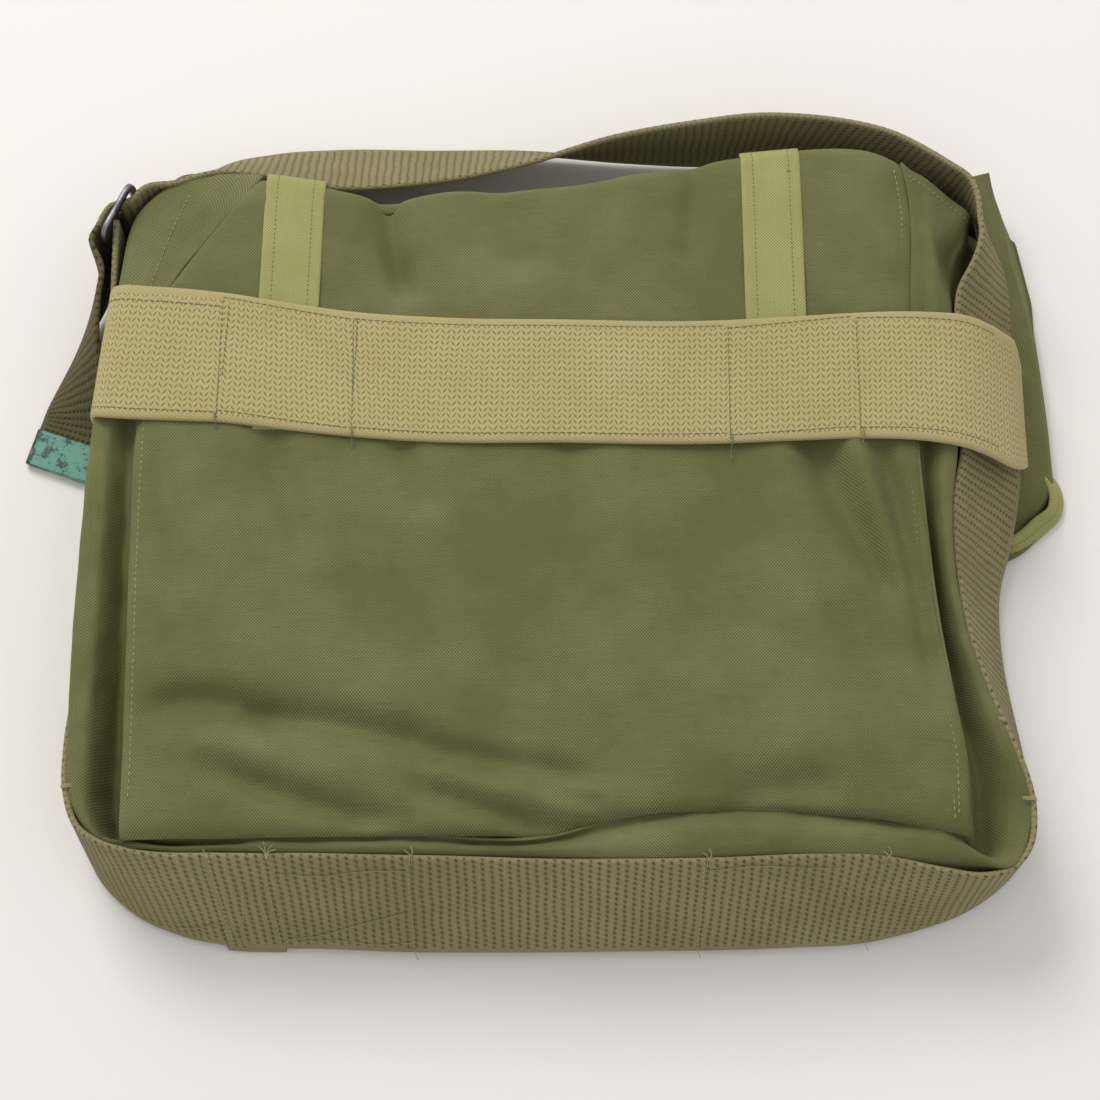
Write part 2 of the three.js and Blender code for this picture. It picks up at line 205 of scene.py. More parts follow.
def cloth_grid(
    name: str,
    across: int,
    along: int,
    place: Place,
    measure: Place,
    finish: bpy.types.Material,
    wear: Callable[[np.ndarray, np.ndarray], np.ndarray] | None = None,
    thickness: float = 0.0,
    loop: bool = False,
    flip: bool = False,
) -> bpy.types.Object:
    """Shape a grid into a cloth.

    Args:
        name: The piece's name.
        across: Number of grid steps along the first parameter.
        along: Number of grid steps along the second parameter.
        place: Gives each point's place in millimetres from two parameters that run from 0 to 1.
        measure: Gives each point's place on the flat cloth in millimetres, for the weave.
        finish: The cloth's material.
        wear: Gives each point's wear.
        thickness: The cloth's thickness in millimetres, or 0 where the grid is already closed.
        loop: Whether the second parameter runs round a closed section, whose ends are welded.
        flip: Whether the faces are turned round.

    Returns:
        The cloth.
    """
    bm = bmesh.new()
    layer = bm.loops.layers.uv.new("UVMap")
    bmesh.ops.create_grid(bm, x_segments=across, y_segments=along, size=0.5)
    bm.verts.ensure_lookup_table()
    flat = np.array([v.co for v in bm.verts])
    u, v = flat[:, 0] + 0.5, flat[:, 1] + 0.5
    points = place(u, v) * MM + np.array(ORIGIN)
    pattern = measure(u, v) * MM
    for i, vert in enumerate(bm.verts):
        vert.co = points[i]
    bm.verts.index_update()
    for face in bm.faces:
        for corner in face.loops:
            corner[layer].uv = pattern[corner.vert.index]
    worn = bm.verts.layers.float.new("wear")
    values = wear(u, v) if wear else np.zeros(len(u))
    for i, vert in enumerate(bm.verts):
        vert[worn] = float(values[i])
    if loop:
        seam = [e for e in bm.edges if e.is_boundary]
        bmesh.ops.remove_doubles(bm, verts=list({v for e in seam for v in e.verts}), dist=1e-6)
        ends = [e for e in bm.edges if e.is_boundary]
        bmesh.ops.holes_fill(bm, edges=ends, sides=0)
    if flip:
        bmesh.ops.reverse_faces(bm, faces=bm.faces)
    if thickness:
        bmesh.ops.solidify(bm, geom=bm.faces[:], thickness=thickness * MM)
    if loop or thickness:
        bmesh.ops.recalc_face_normals(bm, faces=bm.faces)
    return new_object(name, bm, finish)


# The bag is drawn about the middle of its back panel. The middle of the buckle's bar ties that to the frame.
BUCKLE_AT = Vector((-180.0, 126.0, 30.0))
_bar_low, _bar_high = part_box("buckle_bar")
ORIGIN = (_bar_low + _bar_high) / 2 - BUCKLE_AT * MM


# ---------------------------------------------------------------------------------------------------------------
# Finishes
# ---------------------------------------------------------------------------------------------------------------


class Weave(Enum):
    """How a cloth's threads cross."""

    DUCK = "plain-woven canvas"
    HERRINGBONE = "belt webbing of broken zigzag rows"
    COLUMNS = "heavy strap webbing of fat cords held by thin crossing threads"
    FELT = "matted fibres with no thread"


def add(tree: bpy.types.NodeTree, kind: str, inputs: dict | tuple = (), **settings: object) -> bpy.types.Node:
    """Add a node with its settings and links.

    Args:
        tree: The material's node tree.
        kind: The node's type, without the word ShaderNode.
        inputs: What goes into each input, by name or in order: a value, a socket, or a node for its first output.
        settings: The node's own properties.

    Returns:
        The new node.
    """
    node = tree.nodes.new("ShaderNode" + kind)
    for name, value in settings.items():
        setattr(node, name, value)
    for key, value in dict(enumerate(inputs)).items() if isinstance(inputs, tuple) else inputs.items():
        if isinstance(value, bpy.types.Node):
            value = value.outputs[0]
        if isinstance(value, bpy.types.NodeSocket):
            tree.links.new(value, node.inputs[key])
        else:
            node.inputs[key].default_value = value
    return node


@dataclass(frozen=True)
class Cloth:
    """A woven finish, whose threads follow the piece's own UV map, in metres."""

    name: str
    weave: Weave
    color: str
    dark: str
    faded: str
    pitch_mm: tuple[float, float]
    depth_mm: float
    mottle_mm: float = 60.0
    mottle: float = 0.5
    roughness: float = 0.92
    sheen: float = 0.25
    width_mm: float = 0.0
    selvage_mm: float = 0.0

    def threads(self, tree: bpy.types.NodeTree, u: bpy.types.NodeSocket, v: bpy.types.NodeSocket) -> bpy.types.Node:
        """Give the height of the threads, from 0 in the gaps to 1 on top.

        Args:
            tree: The material's node tree.
            u: Distance along the cloth, in metres.
            v: Distance across it, in metres.

        Returns:
            The node whose first output is the height.
        """
        pu, pv = (p * MM for p in self.pitch_mm)
        if self.weave is Weave.FELT:
            coords = add(tree, "TexCoord").outputs["Object"]
            return add(tree, "TexNoise", {"Vector": coords, "Scale": 1 / pu, "Detail": 6.0})
        if self.weave is Weave.HERRINGBONE:
            # Each row is a zigzag line; a short dark slit sits on each slope where two rows part.
            turn = add(tree, "Math", (u, pu / 2), operation="PINGPONG")
            bent = add(tree, "Math", (turn, 1.25, v), operation="MULTIPLY_ADD")
            row = add(tree, "Math", (add(tree, "Math", (bent, 2 * math.pi / pv), operation="MULTIPLY"),), operation="SINE")
            beat = add(tree, "Math", (u, 4 * math.pi / pu, -math.pi / 2), operation="MULTIPLY_ADD")
            slope = add(tree, "Math", (add(tree, "Math", (beat,), operation="SINE"), 0.5, 0.5), operation="MULTIPLY_ADD")
            parted = add(tree, "Math", (row, -1.0, -0.4), operation="MULTIPLY_ADD")
            parted = add(tree, "Math", (parted, 0.0), operation="MAXIMUM")
            slit = add(tree, "Math", (parted, add(tree, "Math", (slope, 1.2), operation="POWER")), operation="MULTIPLY")
            ridge = add(tree, "Math", (row, 0.1, 0.78), operation="MULTIPLY_ADD")
            return add(tree, "Math", (slit, -1.15, ridge), operation="MULTIPLY_ADD")
        across = add(tree, "Math", (add(tree, "Math", (u, math.pi / pu), operation="MULTIPLY"),), operation="SINE")
        if self.weave is Weave.COLUMNS:
            # Fat cords lie across the strap; crossing threads dip between them and leave rows of short dark slots.
            cord = add(tree, "Math", (across,), operation="ABSOLUTE")
            slot = add(tree, "Math", (add(tree, "Math", (1.0, cord), operation="SUBTRACT"), 1.0), operation="POWER")
            slant = add(tree, "Math", (u, 0.4, v), operation="MULTIPLY_ADD")
            dip = add(tree, "Math", (add(tree, "Math", (slant, 2 * math.pi / pv), operation="MULTIPLY"),), operation="SINE")
            dash = add(tree, "Math", (dip, 0.42, 0.6), operation="MULTIPLY_ADD")
            dash = add(tree, "Math", (dash, 0.36), operation="MAXIMUM")
            cut = add(tree, "Math", (slot, dash), operation="MULTIPLY")
            twist = add(tree, "Math", (u, 0.9, v), operation="MULTIPLY_ADD")
            twist = add(tree, "Math", (add(tree, "Math", (twist, 4.6 * math.pi / pv), operation="MULTIPLY"),), operation="SINE")
            swell = add(tree, "Math", (twist, 0.1, 0.86), operation="MULTIPLY_ADD")
            return add(tree, "Math", (cut, -1.0, swell), operation="MULTIPLY_ADD")
        along = add(tree, "Math", (add(tree, "Math", (v, math.pi / pv), operation="MULTIPLY"),), operation="SINE")
        return add(tree, "Math", (add(tree, "Math", (across, along), operation="MULTIPLY"), 0.5, 0.5), operation="MULTIPLY_ADD")

    def make(self) -> bpy.types.Material:
        """Build the material.

        Returns:
            The material.
        """
        material = bpy.data.materials.new(self.name)
        material.use_nodes = True
        tree = material.node_tree
        tree.nodes.clear()
        uv = add(tree, "UVMap", uv_map="UVMap").outputs["UV"]
        # Threads are never quite straight: a slow wobble of a fifth of a thread.
        wobble = add(tree, "TexNoise", {"Vector": uv, "Scale": 1 / (14 * MM), "Detail": 2.0}).outputs["Color"]
        centred = add(tree, "VectorMath", {0: wobble, 1: (0.5, 0.5, 0.5)}, operation="SUBTRACT").outputs[0]
        step = 0.5 * self.pitch_mm[0] * MM
        moved = add(tree, "VectorMath", {0: centred, 1: (step,) * 3, 2: uv}, operation="MULTIPLY_ADD").outputs[0]
        split = add(tree, "SeparateXYZ", {0: moved})
        height = self.threads(tree, split.outputs["X"], split.outputs["Y"])
        if self.width_mm:
            # Both selvages are a plain fine twill without the pattern.
            inset = add(tree, "Math", (split.outputs["Y"], self.width_mm * MM / 2), operation="PINGPONG")
            low, high = 0.7 * self.selvage_mm * MM, self.selvage_mm * MM
            inside = add(tree, "MapRange", {"Value": inset, "From Min": low, "From Max": high}).outputs[0]
            diagonal = add(tree, "Math", (split.outputs["X"], 0.7, split.outputs["Y"]), operation="MULTIPLY_ADD")
            twill = add(tree, "Math", (diagonal, 2 * math.pi / (1.5 * MM)), operation="MULTIPLY")
            twill = add(tree, "Math", (add(tree, "Math", (twill,), operation="SINE"), 0.14, 0.66), operation="MULTIPLY_ADD")
            height = add(tree, "Mix", {0: inside, 2: twill, 3: height}).outputs[0]
        place = add(tree, "TexCoord").outputs["Object"]
        # Washing and storage leave broad faded clouds; single fat threads leave fine streaks along the weave.
        cloud = add(tree, "TexNoise", {"Vector": place, "Scale": 1 / (self.mottle_mm * MM), "Detail": 5.0, "Roughness": 0.6})
        streaks = add(tree, "Mapping", {"Vector": uv, "Scale": (60.0, 900.0, 1.0)}).outputs[0]
        slub = add(tree, "TexNoise", {"Vector": streaks, "Scale": 1.0, "Detail": 3.0, "Roughness": 0.7}).outputs["Fac"]
        specks = add(tree, "TexNoise", {"Vector": uv, "Scale": 1 / (0.9 * MM), "Detail": 1.0}).outputs["Fac"]
        rubbed = add(tree, "Attribute", attribute_name="wear").outputs["Fac"]
        broad = add(
            tree, "MapRange", {"Value": cloud.outputs["Fac"], "From Min": 0.35, "From Max": 0.68, "To Max": self.mottle}
        ).outputs[0]
        worn = add(tree, "Math", (rubbed, 0.7, broad), operation="MULTIPLY_ADD")
        worn = add(tree, "Math", (add(tree, "Math", (slub, 0.5), operation="SUBTRACT"), 0.7, worn), operation="MULTIPLY_ADD")
        worn = add(tree, "Math", (add(tree, "Math", (specks, 0.5), operation="SUBTRACT"), 0.5, worn), operation="MULTIPLY_ADD")
        tone = add(
            tree, "Mix", {0: worn, 6: to_linear(self.color), 7: to_linear(self.faded)}, data_type="RGBA", clamp_factor=True
        ).outputs[2]
        gap = add(tree, "MapRange", {"Value": height, "From Min": 0.1, "From Max": 0.75}).outputs[0]
        color = add(tree, "Mix", {0: gap, 6: to_linear(self.dark), 7: tone}, data_type="RGBA").outputs[2]
        fuzz = add(tree, "TexNoise", {"Vector": uv, "Scale": 1 / (0.35 * MM), "Detail": 2.0}).outputs["Fac"]
        rough = add(tree, "Math", (fuzz, 0.28, height), operation="MULTIPLY_ADD")
        bump = add(tree, "Bump", {"Strength": 1.0, "Distance": self.depth_mm * MM, "Height": rough}).outputs[0]
        shader = add(
            tree,
            "BsdfPrincipled",
            {
                "Base Color": color,
                "Roughness": self.roughness,
                "Specular IOR Level": 0.25,
                "Sheen Weight": self.sheen,
                "Sheen Roughness": 0.6,
                "Sheen Tint": to_linear(self.faded),
                "Normal": bump,
            },
        )
        add(tree, "OutputMaterial", {"Surface": shader.outputs[0]})
        return material


@dataclass(frozen=True)
class Thread:
    """Twisted sewing thread: each stitch is a short bead, so only its colour drifts."""

    name: str
    color: str
    faded: str

    def make(self) -> bpy.types.Material:
        """Build the material.

        Returns:
            The material.
        """
        material = bpy.data.materials.new(self.name)
        material.use_nodes = True
        tree = material.node_tree
        tree.nodes.clear()
        place = add(tree, "TexCoord").outputs["Object"]
        drift = add(tree, "TexNoise", {"Vector": place, "Scale": 1 / (3 * MM), "Detail": 3.0}).outputs["Fac"]
        fibre = add(tree, "TexNoise", {"Vector": place, "Scale": 1 / (0.25 * MM), "Detail": 1.0}).outputs["Fac"]
        color = add(
            tree, "Mix", {0: drift, 6: to_linear(self.color), 7: to_linear(self.faded)}, data_type="RGBA"
        ).outputs[2]
        bump = add(tree, "Bump", {"Strength": 0.6, "Distance": 0.1 * MM, "Height": fibre}).outputs[0]
        shader = add(tree, "BsdfPrincipled", {"Base Color": color, "Roughness": 0.8, "Normal": bump})
        add(tree, "OutputMaterial", {"Surface": shader.outputs[0]})
        return material


@dataclass(frozen=True)
class OldMetal:
    """Metal with a bare colour, a dull film over most of it, and crusts of corrosion."""

    name: str
    bare: str
    film: str
    crust: str
    film_share: float
    crust_share: float
    roughness: float
    grain_mm: float = 9.0

    def make(self) -> bpy.types.Material:
        """Build the material.

        Returns:
            The material.
        """
        material = bpy.data.materials.new(self.name)
        material.use_nodes = True
        tree = material.node_tree
        tree.nodes.clear()
        place = add(tree, "TexCoord").outputs["Object"]
        broad = add(tree, "TexNoise", {"Vector": place, "Scale": 1 / (self.grain_mm * MM), "Detail": 6.0, "Roughness": 0.65})
        fine = add(tree, "TexNoise", {"Vector": place, "Scale": 1 / (1.2 * MM), "Detail": 4.0}).outputs["Fac"]
        rubbed = add(tree, "Attribute", attribute_name="wear").outputs["Fac"]
        level = add(tree, "Math", (rubbed, -0.5, broad.outputs["Fac"]), operation="MULTIPLY_ADD")
        edge = 0.75 - 0.5 * self.film_share
        film = add(tree, "MapRange", {"Value": level, "From Min": edge - 0.08, "From Max": edge + 0.08}).outputs[0]
        dull = add(
            tree, "Mix", {0: film, 6: to_linear(self.bare), 7: to_linear(self.film)}, data_type="RGBA"
        ).outputs[2]
        spots = add(tree, "Math", (fine, 0.35, add(tree, "Math", (level, 0.8), operation="MULTIPLY")), operation="MULTIPLY_ADD")
        rim = 0.78 - 0.42 * self.crust_share
        crust = add(tree, "MapRange", {"Value": spots, "From Min": rim - 0.03, "From Max": rim + 0.04}).outputs[0]
        color = add(tree, "Mix", {0: crust, 6: dull, 7: to_linear(self.crust)}, data_type="RGBA").outputs[2]
        metal = add(tree, "MapRange", {"Value": crust, "To Min": 1.0, "To Max": 0.0}).outputs[0]
        rough = add(tree, "MapRange", {"Value": crust, "To Min": self.roughness, "To Max": 0.9}).outputs[0]
        bump = add(tree, "Bump", {"Strength": 0.5, "Distance": 0.25 * MM, "Height": fine}).outputs[0]
        shader = add(
            tree, "BsdfPrincipled", {"Base Color": color, "Metallic": metal, "Roughness": rough, "Normal": bump}
        )
        add(tree, "OutputMaterial", {"Surface": shader.outputs[0]})
        return material


@dataclass
class Finishes:
    """Every finish of the bag, made once."""

    # Washed cotton duck: a matt olive whose thread crossings show as rows of fine dots.
    duck: Cloth = Cloth("washed_cotton_duck", Weave.DUCK, "#6d7046", "#54572f", "#8d8f65", (0.62, 0.7), 0.16, 55.0, 0.85)
    # Belt webbing: sand-coloured cotton in zigzag rows, with dark pinholes where the rows part.
    belt: Cloth = Cloth(
        "sand_zigzag_webbing", Weave.HERRINGBONE, "#b1a573", "#877b44", "#c0b488", (4.2, 2.7), 0.5, 40.0, 0.5,
        width_mm=55.0, selvage_mm=3.4,
    )
    # Heavy shoulder webbing: brownish cotton cords, with rows of dark slots between them.
    strap: Cloth = Cloth(
        "brown_cord_webbing", Weave.COLUMNS, "#857d58", "#5c5439", "#9a926e", (3.4, 2.7), 0.6, 45.0, 0.6,
        width_mm=54.0, selvage_mm=3.6,
    )
    # The strap's free tail has stayed darker.
    tail: Cloth = Cloth(
        "dark_cord_webbing", Weave.COLUMNS, "#5d573b", "#3d3824", "#726b4c", (3.4, 2.7), 0.6, 45.0, 0.5,
        width_mm=52.0, selvage_mm=3.6,
    )
    # Narrow closure tape: faded light green with a small tight weave.
    tape: Cloth = Cloth("pale_green_tape", Weave.DUCK, "#9f9f64", "#888851", "#b5b57d", (0.72, 0.66), 0.16, 30.0, 0.6)
    # Padding felt of the compartments: matted grey-brown wool.
    felt: Cloth = Cloth("padding_felt", Weave.FELT, "#55513f", "#3d3a2c", "#6a654f", (1.5, 1.5), 0.4)
    # Grey-brown fibreboard in the bottom: a pressed sheet with a faint fleck.
    board: Cloth = Cloth("pressed_board", Weave.FELT, "#6f6046", "#5b4e38", "#84755a", (0.8, 0.8), 0.1)
    green_thread: Thread = Thread("green_sewing_thread", "#62694a", "#7c8260")
    tape_thread: Thread = Thread("grey_green_sewing_thread", "#6f7048", "#8b8c60")
    dark_thread: Thread = Thread("olive_sewing_thread", "#85835a", "#a09d74")
    pale_thread: Thread = Thread("undyed_sewing_thread", "#8f8862", "#b0aa85")
    # Blackened steel slide: worn grey along its edges.
    steel: OldMetal = OldMetal("blackened_steel", "#85858a", "#5a5b60", "#645a49", 0.8, 0.25, 0.45)
    # Brass strap tip: black film with verdigris crusts and a bare, rubbed lower edge.
    tip: OldMetal = OldMetal("corroded_brass", "#8f7f45", "#3f4a47", "#6fa394", 1.25, 0.62, 0.5, 6.0)
    snap: OldMetal = OldMetal("dull_snap_brass", "#8e7d4a", "#55502f", "#5f7c62", 0.5, 0.1, 0.45)
    made: dict[str, bpy.types.Material] = field(default_factory=dict)

    def get(self, name: str) -> bpy.types.Material:
        """Give a finish's material, making it the first time.

        Args:
            name: The field's name.

        Returns:
            The material.
        """
        if name not in self.made:
            self.made[name] = getattr(self, name).make()
        return self.made[name]


# ---------------------------------------------------------------------------------------------------------------
# Webbing and stitching
# ---------------------------------------------------------------------------------------------------------------


@dataclass
class Webbing:
    """A flat woven strap that follows a row of places, each given by its two edges, in millimetres."""

    name: str
    stations: Sequence[tuple[Sequence[float], Sequence[float]]]
    finish: str
    thickness: float = 2.2
    step: float = 2.5
    across: int = 10
    ripple: float = 0.25
    seed: float = 1.0
    crown: float = 0.0

    def __post_init__(self) -> None:
        """Measure the strap along its middle line."""
        self.low = np.array([s[0] for s in self.stations], float)
        self.high = np.array([s[1] for s in self.stations], float)
        middle = (self.low + self.high) / 2
        steps = np.linalg.norm(np.diff(middle, axis=0), axis=1)
        self.knots = np.concatenate([[0.0], np.cumsum(steps)])
        self.length = float(self.knots[-1])
        self.width = float(np.median(np.linalg.norm(self.high - self.low, axis=1)))

    def at(self, s: np.ndarray, w: np.ndarray, lift: np.ndarray) -> np.ndarray:
        """Give places on the strap or beside it.

        Args:
            s: Distances along it.
            w: Shares across it, from 0 at the low edge to 1 at the high edge.
            lift: Distances out of its outer face's middle plane.

        Returns:
            One row of x, y, z for each.
        """
        s = np.clip(s, 0, self.length)

        def middle_plane(t: np.ndarray) -> np.ndarray:
            low, high = spline(self.knots, self.low, t), spline(self.knots, self.high, t)
            return low + (high - low) * w[:, None]

        point = middle_plane(s)
        along = middle_plane(np.clip(s + 0.5, 0, self.length)) - middle_plane(np.clip(s - 0.5, 0, self.length))
        side = spline(self.knots, self.high - self.low, s)
        normal = np.cross(along, side)
        normal /= np.maximum(np.linalg.norm(normal, axis=1), 1e-9)[:, None]
        wave = np.sin(s / 17 + self.seed) * np.sin(s / 41 + 2 * self.seed) * (0.4 + np.abs(w - 0.5))
        bow = self.crown * (1 - (2 * w - 1) ** 2)
        return point + normal * (lift + self.ripple * wave + bow)[:, None]

    def make(self, finishes: Finishes, wear: float = 0.35) -> bpy.types.Object:
        """Build the strap as one closed mesh with soft edges.

        Args:
            finishes: Where its material comes from.
            wear: How faded its edges are.

        Returns:
            The strap.
        """
        half = self.thickness / 2
        rim = min(0.5, half / self.width)
        # Once round the section: out along the outer face, round the high edge and back along the inner face.
        turns = np.array([0.0, 0.46, 0.5, 0.54, 0.96, 1.0])
        wide = np.array([0.004 + rim * 0.4, 1 - rim * 0.4, 1.0, 1 - rim * 0.4, rim * 0.4, 0.004 + rim * 0.4])
        deep = np.array([1.0, 1.0, 0.0, -1.0, -1.0, 1.0])

        def section(v: np.ndarray) -> tuple[np.ndarray, np.ndarray]:
            w = np.interp(v, turns[:5], wide[:5])
            n = np.interp(v, turns[:5], deep[:5])
            closing = np.clip((v - 0.96) / 0.04, 0, 1)
            w = np.where(v > 0.96, wide[4] + (wide[0] - wide[4]) * closing - rim * 0.4 * np.sin(closing * math.pi), w)
            n = np.where(v > 0.96, -1 + 2 * closing, n)
            return w, n

        def place(u: np.ndarray, v: np.ndarray) -> np.ndarray:
            w, n = section(v)
            return self.at(u * self.length, w, n * half)

        def measure(u: np.ndarray, v: np.ndarray) -> np.ndarray:
            w, n = section(v)
            over = (1 - n) * half
            return np.stack([u * self.length, w * self.width + np.where(w > 0.5, over, -over)], axis=1)

        def worn(u: np.ndarray, v: np.ndarray) -> np.ndarray:
            w, _ = section(v)
            return wear * smooth(0.42, 0.5, np.abs(w - 0.5))

        steps = max(8, int(self.length / self.step))
        around = 2 * self.across + 5
        name, cloth = self.name, finishes.get(self.finish)
        return cloth_grid(name, steps, around * 2, place, measure, cloth, worn, loop=True)


class Stitching:
    """Rows of separate stitches in one thread, gathered into one piece."""

    def __init__(self, name: str, pitch: float = 3.0, radius: float = 0.38) -> None:
        """Start with no stitches.

        Args:
            name: The piece's name.
            pitch: Distance from one stitch to the next, in millimetres.
            radius: The thread's radius, in millimetres.
        """
        self.name, self.pitch, self.radius = name, pitch, radius
        self.bm = bmesh.new()

    def row(self, points: np.ndarray, share: float = 0.8, slant: float = 0.0) -> None:
        """Sew along a line.

        Args:
            points: Places along the line, in millimetres.
            share: How much of each pitch the stitch covers.
            slant: How far each stitch turns aside, in radians.
        """
        lengths = np.concatenate([[0.0], np.cumsum(np.linalg.norm(np.diff(points, axis=0), axis=1))])
        for start in np.arange(0, lengths[-1] - self.pitch * share, self.pitch):
            ends = [np.array([np.interp(t, lengths, points[:, k]) for k in range(3)]) for t in (start, start + self.pitch * share)]
            self.stitch(Vector(ends[0]), Vector(ends[1]), slant)

    def stitch(self, a: Vector, b: Vector, slant: float = 0.0) -> None:
        """Lay one stitch between two places.

        Args:
            a: One end, in millimetres.
            b: The other end.
            slant: How far it turns about the vertical, in radians.
        """
        along = b - a
        turn = along.to_track_quat("X", "Z").to_matrix().to_4x4()
        spin = Matrix.Rotation(slant, 4, "Z")
        size = Matrix.Diagonal((along.length / 2, self.radius, self.radius * 0.8, 1.0))
        place = Matrix.Translation(Vector(ORIGIN)) @ Matrix.Scale(MM, 4) @ Matrix.Translation((a + b) / 2)
        bmesh.ops.create_uvsphere(self.bm, u_segments=6, v_segments=5, radius=1, matrix=place @ turn @ spin @ size)

    def strand(self, points: Sequence[Sequence[float]], radius: float | None = None) -> None:
        """Lay one loose thread through some places.

        Args:
            points: Places it passes, in millimetres.
            radius: Its radius, in millimetres.
        """
        knots = np.arange(len(points), dtype=float)
        line = spline(knots, np.array(points, float), np.linspace(0, knots[-1], 6 * len(points)))
        r = radius or self.radius * 0.6
        rings = []
        for i, p in enumerate(line):
            along = Vector(line[min(i + 1, len(line) - 1)] - line[max(i - 1, 0)])
            turn = along.to_track_quat("Z", "Y").to_matrix().to_4x4()
            place = Matrix.Translation(Vector(ORIGIN)) @ Matrix.Scale(MM, 4) @ Matrix.Translation(Vector(p)) @ turn
            made = bmesh.ops.create_circle(self.bm, segments=5, radius=r, matrix=place)
            rings.append({e for v in made["verts"] for e in v.link_edges})
        for first, second in zip(rings, rings[1:]):
            bmesh.ops.bridge_loops(self.bm, edges=list(first | second))
        bmesh.ops.holes_fill(self.bm, edges=list(rings[0] | rings[-1]), sides=0)

    def make(self, finish: bpy.types.Material) -> bpy.types.Object:
        """Turn the stitches into a piece.

        Args:
            finish: The thread's material.

        Returns:
            The piece.
        """
        bmesh.ops.recalc_face_normals(self.bm, faces=self.bm.faces)
        return new_object(self.name, self.bm, finish)


def along_strap(strap: Webbing, low: float, high: float, share: float | Sequence[float], lift: float) -> np.ndarray:
    """Give places along a strap for a row of stitches.

    Args:
        strap: The strap.
        low: Where the row starts, in millimetres along it.
        high: Where the row ends.
        share: Place across the strap, or one at each end.
        lift: Height over the strap's middle plane.

    Returns:
        Rows of x, y, z.
    """
    s = np.linspace(low, high, max(2, int(abs(high - low) / 2)))
    w = np.interp(np.linspace(0, 1, len(s)), [0, 1], np.resize(np.array(share, float), 2))
    return strap.at(s, w, np.full(len(s), lift))


def across_strap(strap: Webbing, s: float, low: float, high: float, lift: float, lean: float = 0.0) -> np.ndarray:
    """Give places across a strap for a row of stitches.

    Args:
        strap: The strap.
        s: Place along the strap, in millimetres.
        low: Share across where the row starts.
        high: Share across where it ends.
        lift: Height over the strap's middle plane.
        lean: How far the row's end lies further along than its start.

    Returns:
        Rows of x, y, z.
    """
    w = np.linspace(low, high, 20)
    return strap.at(s + lean * (w - low), w, np.full(len(w), lift))


# ---------------------------------------------------------------------------------------------------------------
# The bag's canvas
# ---------------------------------------------------------------------------------------------------------------


